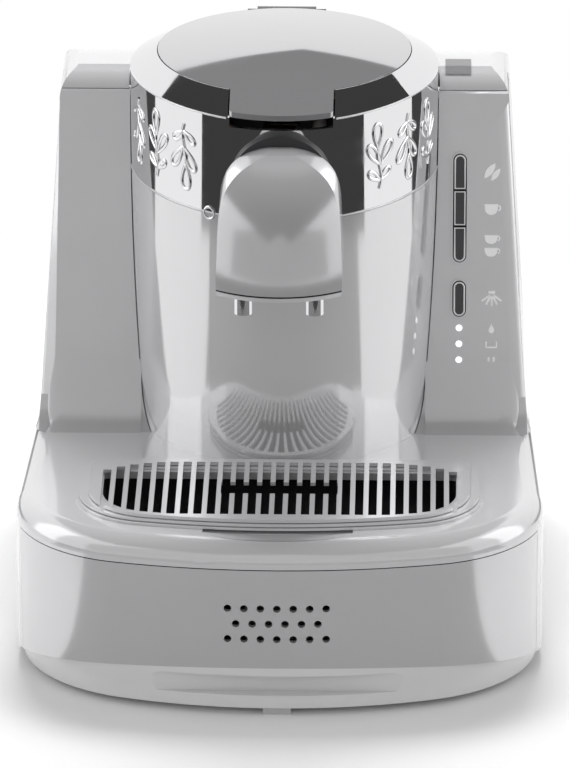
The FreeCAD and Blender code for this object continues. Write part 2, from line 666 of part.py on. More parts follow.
def make_deck_cover():
    body = new_body("deck_shell")
    pad(body, draw(body, "plan", "XY", [base_plan()], "seam_height"), "deck_height - seam_height")
    fillet(body, "deck_round", lambda box: box.ZMin > number("deck_height") - 0.01)
    hollow = draw(body, "hollow", "XY", [base_plan("deck_flange")], "deck_height - deck_skin")
    pocket(body, hollow, "deck_height - deck_skin - seam_height")
    collar = draw(body, "collar", "XY", [tray_plan("-collar_width")], "deck_height - deck_skin")
    pad(body, collar, "deck_skin + collar_height")
    well = draw(body, "well", "XY", [tray_plan("tray_lip - gap")], "deck_height + collar_height")
    pocket(body, well, "deck_height")
    clear = draw(body, "clear", "XY", [tower_plan("-gap")], "deck_height + collar_height")
    pocket(body, clear, "collar_height")
    opening = draw(body, "opening", "XY", [tower_plan("tower_ledge")], "deck_height")
    pocket(body, opening, "deck_height")
    drain = draw(body, "drain", "XY", offset="deck_height + collar_height",
                 circles=[("hose_side", "seat_back", "hose_radius + 2 * gap")])
    pocket(body, drain, "deck_height")
    low = "(deck_height - finger_gap_low)"
    edge = "(-tray_front - collar_width)"
    slot = block("finger_slot", ("-finger_gap", "finger_gap"), (f"{edge} - 1", "-tray_front + tray_lip"),
                 (low, f"{low} + finger_gap_height"))
    bowl = doc.addObject("Part::Ellipsoid", "scoop_bowl")
    bind(bowl, Radius1="scoop_depth", Radius2="scoop_half_width", Radius3="scoop_reach")
    bind(bowl, Placement__Base__y=edge, Placement__Base__z="deck_height + collar_height")
    ahead = block("scoop_limit", ("-through", "through"), ("-through", edge), ("0", "through"))
    return keep("deck_cover", cut("deck_cover", body, slot, common("scoop", bowl, ahead)))


def make_drip_tray():
    body = new_body("drip_tray")
    seat = "tray_seat"
    pad(body, draw(body, "flange", "XY", [tray_plan()], seat), "tray_flange")
    tub = draw(body, "tub", "XY", [tray_plan("tray_lip")], f"{seat} + tray_flange - tray_depth")
    pad(body, tub, "tray_depth")
    hollow = draw(body, "hollow", "XY", [tray_plan("tray_lip + tray_wall")], f"{seat} + tray_flange")
    pocket(body, hollow, "tray_depth - tray_wall")
    return keep("drip_tray", body)


def slot_loops():
    # fore and aft slots whose ends follow a circle round each cup place
    reach = number("cup_side + cup_ring * 0.75")
    count = int(reach / number("slot_pitch"))
    middle, half = "(slot_front + slot_back) / 2", "(slot_front - slot_back) / 2"
    loops = []
    for place in range(-count, count + 1):
        across = f"{abs(place)} * slot_pitch"
        bow = f"sqrt(max(cup_ring^2 - max({across} - cup_side; 0)^2; 0))"
        end = f"min({half}; {bow} * {half} / cup_ring)"
        side = f"{place} * slot_pitch"
        if number(f"{across} - well_half_width") < 0:
            loops.append((side, f"-{middle} - {end}", "-well_front"))
            loops.append((side, "-well_back", f"-{middle} + {end}"))
        else:
            loops.append((side, f"-{middle} - {end}", f"-{middle} + {end}"))
    return loops


def make_drip_grille():
    body = new_body("grille_plate")
    pad(body, draw(body, "plan", "XY", [grille_plan()], "grille_seat"), "grille_thickness")
    rib = draw(body, "rib", "XY", [tray_plan("tray_lip + tray_wall + gap"),
                                   tray_plan("tray_lip + 2 * tray_wall + gap")], "grille_seat")
    pad(body, rib, "grille_rib", backwards=True)
    low, high = "grille_seat - 1", "grille_seat + grille_thickness + 1"
    slots = []
    for index, (side, front, back) in enumerate(slot_loops()):
        across = (f"{side} - slot_width / 2", f"{side} + slot_width / 2")
        slots.append(block(f"slot{index}", across, (front, back), (low, high)))
    wide = "(well_half_width - slot_width / 2)"
    slots.append(block("well", (f"-{wide}", wide), ("-well_front", "-well_back"), (low, high)))
    return keep("drip_grille", cut("drip_grille", body, *slots))


# Tower: cover, band, shoulder ring, lid

def prism(name, plan, low, high):
    body = new_body(name)
    pad(body, draw(body, "plan", "XY", [plan], low), f"({high}) - ({low})")
    return body


def make_tower():
    cover = new_body("tower_shell")
    pad(cover, draw(cover, "ring", "XY", [tower_plan(), tower_plan("wall")], "deck_height"),
        "band_low - band_shadow - deck_height")
    lip = draw(cover, "lip", "XY", [tower_plan("wall / 2"), tower_plan("wall + 1")],
               "band_low - band_shadow")
    pad(cover, lip, "band_shadow")
    keep("tower_cover", cut("tower_cover", cover, collar_space("cover_notch")))
    band = new_body("band_shell")
    pad(band, draw(band, "ring", "XY", [tower_plan(), tower_plan("wall")], "band_low"),
        "band_high - band_low")
    finger = block("finger_space", ("-tab_half_width", "tab_half_width"),
                   ("tower_axis - tower_nose - 5", "tower_axis - lid_nose"),
                   ("band_high - finger_notch", "band_high + 1"))
    keep("chrome_band", cut("chrome_band", band, collar_space("band_notch"), finger))


def collar_space(name):
    # the round hole that the spout's collar sits in
    return rod(name, ("0", "tower_axis - tower_nose - 5", "spout_centre"), "collar_radius - wall",
               "20", "y")


def make_shoulder_ring():
    body = new_body("shoulder")
    low = draw(body, "low", "XY", [tower_plan()], "band_high")
    high = draw(body, "high", "XY", [lid_plan("-gap - 0.3")], "lid_edge")
    loft(body, [low, high])
    pocket(body, draw(body, "hole", "XY", [lid_plan("-gap")], "lid_edge"), "lid_edge - band_high")
    notch = block("tab_notch", ("-tab_half_width - 2 * gap", "tab_half_width + 2 * gap"),
                  ("tower_axis - tower_nose - 5", "tower_axis - lid_nose / 2"),
                  ("band_high - 1", "lid_edge + 1"))
    arm = block("arm_notch", ("-hinge_half_width - gap", "hinge_half_width + gap"),
                ("tower_axis + lid_half_width / 2", "tower_axis + tower_half_width + 1"),
                ("hinge_height - knuckle_radius - gap", "lid_edge + 1"))
    pin = rod("pin_space", ("-hinge_half_width - ear_width", "tower_axis + hinge_back", "hinge_height"),
              "hinge_pin", "2 * (hinge_half_width + ear_width)", "x")
    behind = block("relief_limit", ("-hinge_half_width - relief_reach", "hinge_half_width + relief_reach"),
                   ("tower_axis + lid_half_width / 2", "through"), ("band_high - 1", "lid_edge + 1"))
    relief = common("lid_relief", prism("relief_plan", lid_plan("-gap - hinge_relief"), "band_high - 1",
                                        "lid_edge + 1"), behind)
    return keep("shoulder_ring", cut("shoulder_ring", body, notch, arm, pin, relief))


def lid_dome(name, drop="0"):
    # a wide shallow dome that the lid and its tab share
    body = new_body(name)
    wide, bend = "(tower_nose + tab_overhang + 5)", f"(dome_radius - ({drop}))"
    top = f"(rim_top - ({drop}))"
    profile = draw(body, "profile", "XZ", [[
        ("0", "band_high - 10"), (wide, "band_high - 10"),
        (wide, f"{top} - {bend} + sqrt({bend}^2 - {wide}^2)", bend), ("0", top),
    ]])
    revolve(body, profile)
    return bind(body, Placement__Base__y="tower_axis")


def lid_tab(name):
    # the tab's tip follows the tower's nose in plan
    body = new_body(name)
    tip, half, corner = "(nose_radius + tab_overhang)", "tab_half_width", "tab_corner"
    turn = f"asin(({half} - {corner}) / ({tip} - {corner}))"
    side = f"tower_nose_y - ({tip} - {corner}) * cos({turn})"
    front = (f"{tip} * sin({turn})", f"tower_nose_y - {tip} * cos({turn})")
    root = "tower_axis - lid_nose / 2"
    plan = draw(body, "plan", "XY", [[
        (f"-{front[0]}", front[1], tip), (*front, corner), (half, side), (half, root),
        (f"-{half}", root), (f"-{half}", side, corner),
    ]], "band_high")
    pad(body, plan, "rim_top - band_high")
    return body


def make_top_lid():
    cover = common("lid_cover", prism("lid_body", lid_plan(), "rim_top - lid_thickness", "rim_top"),
                   lid_dome("lid_top"))
    tab = cut("lid_tab", common("tab_top", lid_tab("tab_form"), lid_dome("tab_dome")),
              lid_dome("tab_under", "tab_thickness"))
    axis = "tower_axis + hinge_back"
    arm = block("lid_arm", ("-hinge_half_width", "hinge_half_width"),
                ("tower_axis + lid_half_width - 8", axis),
                ("rim_top - lid_thickness", "rim_top - lid_thickness + arm_thickness"))
    knuckle = rod("lid_knuckle", ("-hinge_half_width", axis, "hinge_height"), "knuckle_radius",
                  "2 * hinge_half_width", "x")
    bore = rod("lid_bore", ("-hinge_half_width - 1", axis, "hinge_height"), "hinge_pin + 0.05",
               "2 * hinge_half_width + 2", "x")
    whole = fuse("lid_whole", cover, tab, arm, knuckle)
    liner_space = rod("liner_space", ("0", "tower_axis", "rim_top - lid_thickness - 1"),
                      "liner_radius - 8", "1 + 0.5")
    keep("top_lid", cut("top_lid", whole, bore, liner_space))
    under = "rim_top - lid_thickness"
    disc = rod("liner_disc", ("0", "tower_axis", f"{under} - liner_thickness"), "liner_radius",
               "liner_thickness")
    keep("lid_liner", cut("lid_liner", disc, rod("liner_well", ("0", "tower_axis",
         f"{under} - liner_thickness - 1"), "liner_radius - 8", "liner_thickness")))
    ring = doc.addObject("Part::Torus", "lid_seal")
    bind(ring, Radius1="liner_radius + seal_radius", Radius2="seal_radius")
    bind(ring, Placement__Base__y="tower_axis",
         Placement__Base__z=f"{under} - seal_radius")
    keep("lid_seal", ring)
    pin = rod("lid_hinge_pin", ("-hinge_half_width - ear_width", axis, "hinge_height"), "hinge_pin",
              "2 * (hinge_half_width + ear_width)", "x")
    keep("lid_hinge_pin", pin)


def make_hinge_bracket():
    axis, half = "(tower_axis + hinge_back)", "(hinge_half_width + ear_width)"
    low, high = "drum_top + gap", "band_high"
    whole = block("bracket_block", (f"-{half}", half), (f"{axis} - 3", f"{axis} + 10"), (low, high))
    slot = block("bracket_slot", ("-hinge_half_width", "hinge_half_width"), (f"{axis} - 4", f"{axis} + 3"),
                 (f"{low} - 1", f"{high} + 1"))
    inside = prism("bracket_limit", tower_plan("wall"), low, high)
    return keep("hinge_bracket", cut("hinge_bracket", common("bracket_fit", whole, inside), slot))


# Brewing drum, pot, heater, valve

def make_brewing():
    drum = new_body("drum_liner")
    outer, thick = "drum_radius", "wall / 1.25"
    inner = f"({outer} - {thick})"
    revolve(drum, draw(drum, "profile", "XZ", [[
        ("0", "drum_floor"), (outer, "drum_floor"), (outer, "drum_top"), (inner, "drum_top"),
        (inner, f"drum_floor + {thick}"), ("0", f"drum_floor + {thick}"),
    ]]))
    bind(drum, Placement__Base__y="tower_axis")
    window = block("valve_window", ("-valve_half_width - gap", "valve_half_width + gap"),
                   ("tower_axis - drum_radius - 2", "tower_axis - drum_radius + 6"),
                   ("duct_height - valve_half_height - gap", "drum_top + 1"))
    rests = [block(f"drum_rest{side}", (f"{side} * drum_radius - 5", f"{side} * drum_radius + 5"),
                   ("tower_axis - 4", "tower_axis + 4"), ("drum_floor", "drum_floor + 6"))
             for side in (-1, 1)]
    reach = prism("drum_reach", tower_plan("wall"), "drum_floor", "drum_floor + 6")
    feet = common("drum_feet", fuse("drum_rests", *rests), reach)
    hollow = rod("drum_hollow", ("0", "tower_axis", f"drum_floor + {thick}"), inner, "10")
    inlet = block("drum_inlet", ("hose_side - hose_radius - gap", "hose_side + hose_radius + gap"),
                  ("tower_axis - drum_radius - 2", "tower_axis - drum_radius + 8"),
                  ("pot_top - 4", "drum_top + 1"))
    keep("drum_body", cut("drum_body", fuse("drum_whole", drum, feet), window, hollow, inlet))

    pot = new_body("pot_shell")
    side, steel = "pot_radius", "pot_wall"
    revolve(pot, draw(pot, "profile", "XZ", [[
        ("0", "pot_floor"), (f"{side} - 5", "pot_floor", "5"), (side, "pot_floor + 5"),
        (side, f"pot_top - {steel}"), ("pot_rim", f"pot_top - {steel}"), ("pot_rim", "pot_top"),
        (f"{side} - {steel}", "pot_top"),
        (f"{side} - {steel}", "pot_floor + 5", f"5 - {steel}", "hollow"),
        (f"{side} - 5", f"pot_floor + {steel}"), ("0", f"pot_floor + {steel}"),
    ]]))
    bind(pot, Placement__Base__y="tower_axis")
    outlet = rod("pot_outlet", ("0", "pot_front - 1", "duct_height"), "duct_bore", "5", "y")
    keep("brew_pot", cut("brew_pot", pot, outlet))

    low = "pot_floor - heater_thickness"
    plate = rod("plate_disc", ("0", "tower_axis", low), "heater_radius", "heater_thickness")
    posts = [rod(f"post{turn}", (f"36 * cos({turn})", f"tower_axis + 36 * sin({turn})",
                                 f"drum_floor + {thick}"), "post_radius",
                 f"{low} - drum_floor - {thick}") for turn in (30, 150, 270)]
    keep("heater_plate", fuse("heater_plate", plate, *posts))
    coil = doc.addObject("Part::Torus", "coil")
    coil.Angle3 = 320
    coil.Placement = FreeCAD.Placement(FreeCAD.Vector(), FreeCAD.Rotation(FreeCAD.Vector(0, 0, 1), 110))
    bind(coil, Radius1="element_radius - post_radius", Radius2="element_section")
    bind(coil, Placement__Base__y="tower_axis", Placement__Base__z=f"{low} - element_section")
    keep("heater_element", coil)
    keep("thermostat", rod("thermostat", ("0", "tower_axis", f"{low} - 9"), "thermostat_radius", "9"))


def make_valve():
    back = "(pot_front)"
    front = f"({back} - valve_length)"
    low, high = "duct_height - valve_half_height", "duct_height + valve_half_height"
    shell = block("valve_block", ("-valve_half_width", "valve_half_width"), (front, back), (low, high))
    channel = rod("valve_channel", ("0", f"{front} - 1", "duct_height"), "duct_bore",
                  "valve_length + 2", "y")
    stem = ("0", "pot_front - plunger_back")
    guide = rod("valve_guide", (*stem, "duct_height - duct_bore"), "plunger_radius + gap",
                "valve_half_height + duct_bore + 1")
    keep("valve_body", cut("valve_body", shell, channel, guide))
    coil_low = f"({high} + spring_room)"
    plunger = rod("plunger_pin", (*stem, "duct_height - duct_bore + gap"), "plunger_radius",
                  f"{coil_low} - duct_height + duct_bore + 2")
    flange = rod("plunger_flange", (*stem, f"{high} + 1"), "plunger_radius + 1.6", "1")
    keep("valve_plunger", fuse("valve_plunger", plunger, flange))
    coil = block("solenoid_block", ("-solenoid_half", "solenoid_half"),
                 (f"{stem[1]} - solenoid_half", f"{stem[1]} + solenoid_half"),
                 (coil_low, f"{coil_low} + solenoid_height"))
    bore = rod("solenoid_bore", (*stem, f"{coil_low} - 1"), "plunger_radius + gap",
               "plunger_travel + 4")
    post = block("solenoid_post", ("-valve_half_width", "-solenoid_half"),
                 (f"{stem[1]} - solenoid_half", f"{stem[1]} + solenoid_half"),
                 (high, f"{coil_low} + solenoid_height"))
    keep("solenoid", cut("solenoid", fuse("solenoid_whole", coil, post), bore))
    make_spring(stem, f"{high} + 2 + 0.1", f"{coil_low} - 0.1")


def make_spring(stem, low, high):
    # an open coil with half a turn lying flat at each end
    wire, radius = number("spring_wire"), number("plunger_radius + 1")
    bottom, top = number(low) + wire / 2, number(high) - wire / 2
    turns_count = number("spring_turns")
    helix = Part.makeHelix((top - bottom) / turns_count, top - bottom, radius)
    section = Part.Wire(Part.Circle(FreeCAD.Vector(radius, 0, 0), FreeCAD.Vector(0, 1, 0), wire / 2).toShape())
    spring = doc.addObject("Part::Feature", "valve_spring")
    spring.Shape = Part.Wire(helix.Edges).makePipeShell([section], True, True)
    spring.Placement.Base = FreeCAD.Vector(number(stem[0]), number(stem[1]), bottom)
    keep("valve_spring", spring)


def make_spout():
    face = "(tower_axis - collar_face)"
    ring = rod("collar_ring", ("0", face, "spout_centre"), "collar_radius", "16", "y")
    seat = rod("collar_seat", ("0", f"{face} + gap", "spout_centre"), "collar_radius - wall - gap",
               "12", "y")
    outside = cut("collar_outside", ring, prism("collar_limit", tower_plan(), "band_low - 20", "rim_top"))
    neck = cut("collar_neck", seat, prism("collar_back", tower_plan("wall + 1"), "band_low - 20", "rim_top"))
    way = rod("collar_bore", ("0", f"{face} - 1", "duct_height"), "duct_radius + gap", "30", "y")
    keep("spout_collar", cut("spout_collar", fuse("collar_whole", outside, neck), way))

    def sections(body, inset, low):
        rise, reach = "(spout_high - spout_low)", "(spout_reach - spout_root)"
        drawn = []
        for index, turn in enumerate((0, 18, 38, 54, 68, 84)):
            front = f"-(spout_root + {reach} * cos({turn}) - {inset})"
            wide = f"(spout_half_width * sqrt(1 - sin({turn})^6) - {inset})"
            shoulder = f"{front} + spout_curve - sqrt(spout_curve^2 - {wide}^2)"
            height = f"spout_low + {rise} * sin({turn}) - {inset}" if index else low
            drawn.append(draw(body, f"section{index}", "XY", [[
                (f"-{wide}", shoulder, "spout_curve"), (wide, shoulder),
                (wide, face), (f"-{wide}", face),
            ]], height))
        return drawn

    outer = new_body("spout_outer")
    loft(outer, sections(outer, "0", "spout_low"))
    inner = new_body("spout_inner")
    loft(inner, sections(inner, "spout_wall", "spout_low - 1"))
    keep("spout_cover", cut("spout_cover", outer, inner))

    run_low = f"({face} - 16)"
    feed = rod("duct_run", ("0", run_low, "duct_height"), "duct_radius",
               f"pot_front - valve_length - {run_low}", "y")
    feed_bore = rod("duct_run_bore", ("0", f"{run_low} + 1.5", "duct_height"), "duct_bore", "60", "y")
    drop_y = f"({run_low} + duct_radius)"
    base = "(spout_low + manifold_height + 2)"
    drop = rod("duct_drop", ("0", drop_y, base), "duct_radius", f"duct_height - {base}")
    drop_bore = rod("duct_drop_bore", ("0", drop_y, f"{base} - 1"), "duct_bore", f"duct_height - {base}")
    half = "(duct_radius + 0.8)"
    knee = block("duct_knee", (f"-{half}", half), (f"{drop_y} - {half}", f"{drop_y} + {half}"),
                 (f"duct_height - {half}", f"duct_height + {half}"))
    keep("spout_duct", cut("spout_duct", fuse("duct_whole", feed, drop, knee), feed_bore, drop_bore))

    channel = ("-nozzle_front - nozzle_radius", f"{drop_y} + duct_radius")
    box = block("manifold", ("-nozzle_side - nozzle_radius", "nozzle_side + nozzle_radius"), channel,
                (f"{base} - manifold_height", base))
    space = block("manifold_space", ("-nozzle_side - nozzle_bore", "nozzle_side + nozzle_bore"),
                  (f"{channel[0]} + 1.4", f"{channel[1]} - 1.4"),
                  (f"{base} - manifold_height + 1.4", f"{base} - 1.4"))
    inlet = rod("manifold_inlet", ("0", drop_y, f"{base} - 3"), "duct_bore", "4")
    tubes, bores = [], []
    for side in (-1, 1):
        spot = (f"{side} * nozzle_side", "-nozzle_front")
        tubes.append(rod(f"nozzle{side + 1}", (*spot, "nozzle_low"), "nozzle_radius",
                         f"{base} - manifold_height - nozzle_low"))
        bores.append(rod(f"nozzle_hole{side + 1}", (*spot, "nozzle_low - 1"), "nozzle_bore",
                         f"{base} - manifold_height - nozzle_low + 4"))
    keep("spout_nozzles", cut("spout_nozzles", fuse("nozzles_whole", box, *tubes), space, inlet, *bores))


# Column: shell, tank shelf, tank, tank lid

def column_form(name, inset="0"):
    # what is common to the column's side, front and top views
    body = new_body(name)
    tilt = f"({inset}) / cos(lean)"
    back = f"(base_depth / 2 - ({inset}))"
    side = draw(body, "side", "YZ", [[
        (f"-column_foot + {tilt}", "deck_height"), (back, "deck_height"),
        (back, f"tail_z - tail_round * cos(crown_slope) - ({inset})", f"tail_round"),
        (f"tail_y - ({inset})", f"tail_z - ({inset})"),
        ("slope_start_y", f"slope_start_z - ({inset})", "crown_curve"),
        ("crown_back", f"crown_height - ({inset})"),
        (f"face_top_y + crown_front + {tilt}", f"crown_height - ({inset})", "crown_round"),
        (f"face_top_y + {tilt}", "face_high"),
        (f"face_front + {tilt}", "face_low", "foot_curve", "hollow"),
    ]])
    pad(body, side, "2 * column_half_width", symmetric=True)
    low = f"(column_half_width - ({inset}))"
    rise = f"(crown_height - ({inset}) - shoulder_round - deck_height)"
    high = f"({low} - {rise} * tan(column_draft))"
    front = draw(body, "front", "XZ", frame_round([
        (low, "deck_height - 1"), (high, f"deck_height + {rise}", "shoulder_round"),
        (f"{high} - shoulder_round", f"deck_height + {rise} + shoulder_round + 1"),
        (f"-({high} - shoulder_round)", f"deck_height + {rise} + shoulder_round + 1", "shoulder_round"),
        (f"-{high}", f"deck_height + {rise}"), (f"-{low}", "deck_height - 1"),
    ]))
    pocket(body, front, "through", symmetric=True)
    top = draw(body, "top", "XY", frame_round(base_plan(inset)), "crown_height + 1")
    pocket(body, top, "through")
    return body


def seam_space(name, shift):
    # all that lies under the seam of the tank lid, in side view
    body = new_body(name)
    level = f"(seam_z + ({shift}))"
    slope = "(through - crown_back) * tan(crown_slope)"
    pad(body, draw(body, "side", "YZ", [[
        ("-through", "-through"), ("through", "-through"), ("through", f"{level} - {slope}"),
        ("crown_back", level), ("-through", level),
    ]]), "2 * through", symmetric=True)
    return body


def make_column():
    outer = common("column_below", column_form("column_outer"), seam_space("shell_top", "0"))
    hollow = column_form("column_hollow", "wall")
    tower = prism("tower_space", tower_plan("-gap"), "deck_height - 1", "rim_top + 5")
    window = block("tank_window", ("-window_half_width - 1", "window_half_width + 1"),
                   ("tank_back - 1", "base_depth / 2 + 1"),
                   ("shelf_height + wall", "crown_height"))
    openings = [face_prism(f"{name}_opening", low, length, "surround_width")
                for name, low, length in button_groups()]
    lamps = [lamp_rod(f"lamp_hole{place}", place, "-2", "wall + 4", "gap / 3") for place in range(3)]
    keep("column_shell", cut("column_shell", outer, hollow, tower, window, *openings, *lamps))
    shelf_form = column_form("shelf_form", "wall")
    slab = block("shelf_slab", ("-through", "through"), ("tank_front - 8", "through"),
                 ("shelf_height", "shelf_height + wall"))
    socket = rod("seat_hole", ("hose_side", "seat_back", "shelf_height - 1"), "seat_radius - 2", "wall + 2")
    legs = [block(f"shelf_leg{side}", (f"{side} * 82 - 3", f"{side} * 82 + 3"),
                  ("tank_front + 20", "tank_front + 28"), ("deck_height", "shelf_height"))
            for side in (-1, 1)]
    shelf = fuse("shelf_whole", common("shelf_cut", slab, shelf_form), *legs)
    keep("tank_shelf", cut("tank_shelf", shelf, socket,
                           prism("shelf_tower", tower_plan("-gap"), "deck_height - 1", "rim_top + 5")))


def tank_outline(inset="0"):
    # a horseshoe round the tower with a flat face that shows at the back
    front, mouth = f"(tank_front + ({inset}))", f"(tower_half_width + tank_space + ({inset}))"
    notch, turn = f"(tower_axis + {mouth})", f"(tank_notch_corner + ({inset}))"
    bend = f"(tank_corner - ({inset}))"
    side, window = f"(tank_half_width - ({inset}))", f"(window_half_width - ({inset}))"
    x, y = "(tank_half_width - tank_corner)", "(tank_back - tank_corner)"
    right = [
        (side, front), (side, y, bend),
        (window, f"{y} + sqrt({bend}^2 - ({window} - {x})^2)"),
        (window, f"base_depth / 2 - 0.5 - ({inset})"),
    ]
    left = both_sides(right)[len(right):]
    return right + left + [
        (f"-{mouth}", front), (f"-{mouth}", f"{notch} - {turn}", turn, "hollow"),
        (f"-({mouth} - {turn})", notch), (f"{mouth} - {turn}", notch, turn, "hollow"),
        (mouth, f"{notch} - {turn}"), (mouth, front),
    ]


def make_tank():
    floor = "(shelf_height + wall + gap)"
    outer = prism("tank_outer", tank_outline(), floor, "crown_height")
    below = common("tank_body", outer, seam_space("tank_top", "-tank_margin"))
    inner = prism("tank_inner", tank_outline("tank_wall"), f"{floor} + tank_wall", "crown_height + 5")
    outlet = rod("tank_outlet", ("hose_side", "seat_back", f"{floor} - 1"), "valve_stem + 1", "6")
    ears = []
    pin_y, pin_z = tank_pin_place()
    for side in (-1, 1):
        ears.append(block(f"tank_ear{side + 1}", (f"{side} * tank_hinge_side - 2", f"{side} * tank_hinge_side + 2"),
                          (f"{pin_y} - 1.3", f"{pin_y} + 1.3"), (f"{pin_z} - 14", f"{pin_z} + 1.6")))
    pins = [rod(f"pin_hole{side + 1}", (f"{side} * tank_hinge_side - 6", pin_y, pin_z), "tank_pin", "12", "x")
            for side in (-1, 1)]
    whole = fuse("tank_whole", cut("tank_shell", below, inner, outlet), *ears)
    keep("water_tank", cut("water_tank", whole, *pins))
    keep("tank_lid_pins", group("tank_lid_pins", *[
        rod(f"tank_pin{side + 1}", (f"{side} * tank_hinge_side - 6", pin_y, pin_z), "tank_pin", "12", "x")
        for side in (-1, 1)]))
    disc = rod("valve_top", ("hose_side", "seat_back", f"{floor} + tank_wall + 0.1"), "valve_disc", "1.6")
    stem = rod("valve_leg", ("hose_side", "seat_back", f"{floor} - 1.2"), "valve_stem", "tank_wall + 2.5")
    keep("tank_valve", fuse("tank_valve", disc, stem))
    cup = rod("seat_cup", ("hose_side", "seat_back", "shelf_height - 8"), "seat_radius - 2 - gap / 3", "8 + wall - gap")
    rim = rod("seat_rim", ("hose_side", "seat_back", "shelf_height - 3"), "seat_radius", "3")
    well = rod("seat_well", ("hose_side", "seat_back", "shelf_height - 4"), "valve_stem + 2", "20")
    pipe = rod("seat_pipe", ("hose_side", "seat_back", "shelf_height - 9"), "hose_radius", "6")
    keep("tank_seat", cut("tank_seat", fuse("seat_whole", cup, rim), well, pipe))


def tank_pin_place():
    along = "(base_depth / 2 - tank_hinge_back)"
    return along, f"(seam_z - ({along} - crown_back) * tan(crown_slope) + tank_hinge_rise)"


def make_tank_lid():
    solid = column_form("lid_outer")
    hollow = common("lid_hollow", column_form("lid_inner", "wall"), lid_inside("lid_room"))
    tower = prism("lid_tower", tower_plan("-2 * gap"), "deck_height", "rim_top + 10")
    under = seam_space("lid_under", "gap")
    pin_y, pin_z = tank_pin_place()
    ears = [block(f"ear_space{side + 1}", (f"{side} * tank_hinge_side - 2.4", f"{side} * tank_hinge_side + 2.4"),
                  (f"{pin_y} - 2.2", "through"), (f"{pin_z} - 14", f"{pin_z} + 2.2")) for side in (-1, 1)]
    bores = [rod(f"lid_pin_hole{side + 1}", (f"{side} * tank_hinge_side - 7", pin_y, pin_z),
                 "tank_pin + 0.05", "14", "x") for side in (-1, 1)]
    grip = block("grip_space", ("mark_side - mark_half_width", "mark_side + mark_half_width"),
                 ("0", "face_top_y + crown_front + 8"), ("crown_height - 1.5", "crown_height + 5"))
    corner = block("roll_corner", ("-through", "through"), (pin_y, "through"), ("0", pin_z))
    core = rod("roll_core", ("-through", pin_y, pin_z), "tank_lid_roll", "2 * through", "x")
    roll = cut("lid_roll", corner, core)
    keep("tank_lid", cut("tank_lid", solid, hollow, tower, under, roll, *ears, *bores, grip))
    plug = block("grip_block", ("mark_side - mark_half_width", "mark_side + mark_half_width"),
                 ("0", "face_top_y + crown_front + 8"), ("crown_height - 1.5", "crown_height + 5"))
    keep("tank_lid_grip", common("tank_lid_grip", column_form("grip_form", "-0.3"), plug))


def lid_inside(name):
    # the lid is hollow except along its rear edge, where the hinge is
    return block(name, ("-through", "through"), ("-through", "base_depth / 2 - 7"), ("0", "through"))


# Controls on the column's face

def on_face(shape, height):
    # turns a shape drawn on an upright face so that it lies on the leaning one
    shape.Placement = FreeCAD.Placement(FreeCAD.Vector(), FreeCAD.Rotation(FreeCAD.Vector(1, 0, 0), -10))
    bind(shape, Placement__Rotation__Angle="lean", Placement__Base__x="button_side")
    shape.Placement.Rotation.Axis = FreeCAD.Vector(-1, 0, 0)
    return bind(shape, Placement__Base__y=f"face_front + (({height}) - face_low) * tan(lean)",
                Placement__Base__z=height)


def capsule(length, grow="0", low_round=True, high_round=True):
    half = f"(button_width / 2 + ({grow}))"
    low, high = f"(0 - ({grow}))", f"(({length}) + ({grow}))"
    loop = []
    if low_round:
        loop += [(f"-{half}", f"{low} + {half}", half), ("0", low, half), (half, f"{low} + {half}")]
    else:
        loop += [(f"-{half}", low), (half, low)]
    if high_round:
        loop += [(half, f"{high} - {half}", half), ("0", high, half), (f"-{half}", f"{high} - {half}")]
    else:
        loop += [(half, high), (f"-{half}", high)]
    return loop


def button_groups():
    three = "(3 * button_length + 2 * button_gap)"
    return (("group", "button_start", three), ("clean", "clean_start", "button_length"))


def face_prism(name, height, length, grow, front="-3", back="wall + 4", **ends):
    body = new_body(name)
    outline = draw(body, "outline", "XZ", [capsule(length, grow, **ends)], f"-({front})")
    pad(body, outline, f"({back}) - ({front})", backwards=True)
    return on_face(body, height)


def make_controls():
    rings = []
    for name, low, length in button_groups():
        outer = face_prism(f"{name}_frame", low, length, "surround_width", "-surround_proud", "wall")
        inner = face_prism(f"{name}_inside", low, length, "gap")
        rings.append(cut(f"{name}_surround", outer, inner))
    keep("button_surrounds", group("button_surrounds", *rings))
    ends = {
        "button_slow_brew": ("button_start", 2, False, True),
        "button_one_cup": ("button_start", 1, False, False),
        "button_two_cups": ("button_start", 0, True, False),
        "button_clean": ("clean_start", 0, True, True),
    }
    for name, (start, place, low_round, high_round) in ends.items():
        height = f"{start} + {place} * (button_length + button_gap) * cos(lean)"
        keep(name, face_prism(name, height, "button_length", "0", "-button_proud", "button_depth",
                              low_round=low_round, high_round=high_round))
    lenses = [lamp_rod(f"lamp{place}", place, "-0.2", "wall + 1.2", "0") for place in range(3)]
    bar = face_block("lamp_bar", ("-3", "3"), ("wall", "wall + 2"), ("-3", "2 * lamp_pitch + 3"), "lamp_start")
    keep("led_lenses", fuse("led_lenses", bar, *lenses))
    under = "(button_depth + button_travel + gap)"
    height = "(button_start + 3 * (button_length + button_gap) - clean_start)"
    strip = face_block("switch_pad", ("-6", "6"), (under, f"{under} + pad_thickness"),
                       ("-2", f"{height} / cos(lean)"), "clean_start")
    keep("switch_pad", strip)
    back = f"{under} + pad_thickness"
    board = face_block("board_sheet", ("-9", "11"), (back, f"{back} + board_thickness"),
                       ("-22", f"{height} / cos(lean) + 4"), "clean_start")
    chip = face_block("board_chip", ("-6", "6"), (f"{back} + board_thickness", f"{back} + board_thickness + 3"),
                      ("8", "24"), "clean_start")
    posts = [face_block(f"board_post{place}", ("7", "10"), ("wall", back), (along, f"{along} + 4"), "clean_start")
             for place, along in enumerate(("-18", "46"))]
    keep("control_board", fuse("control_board", board, chip, *posts))


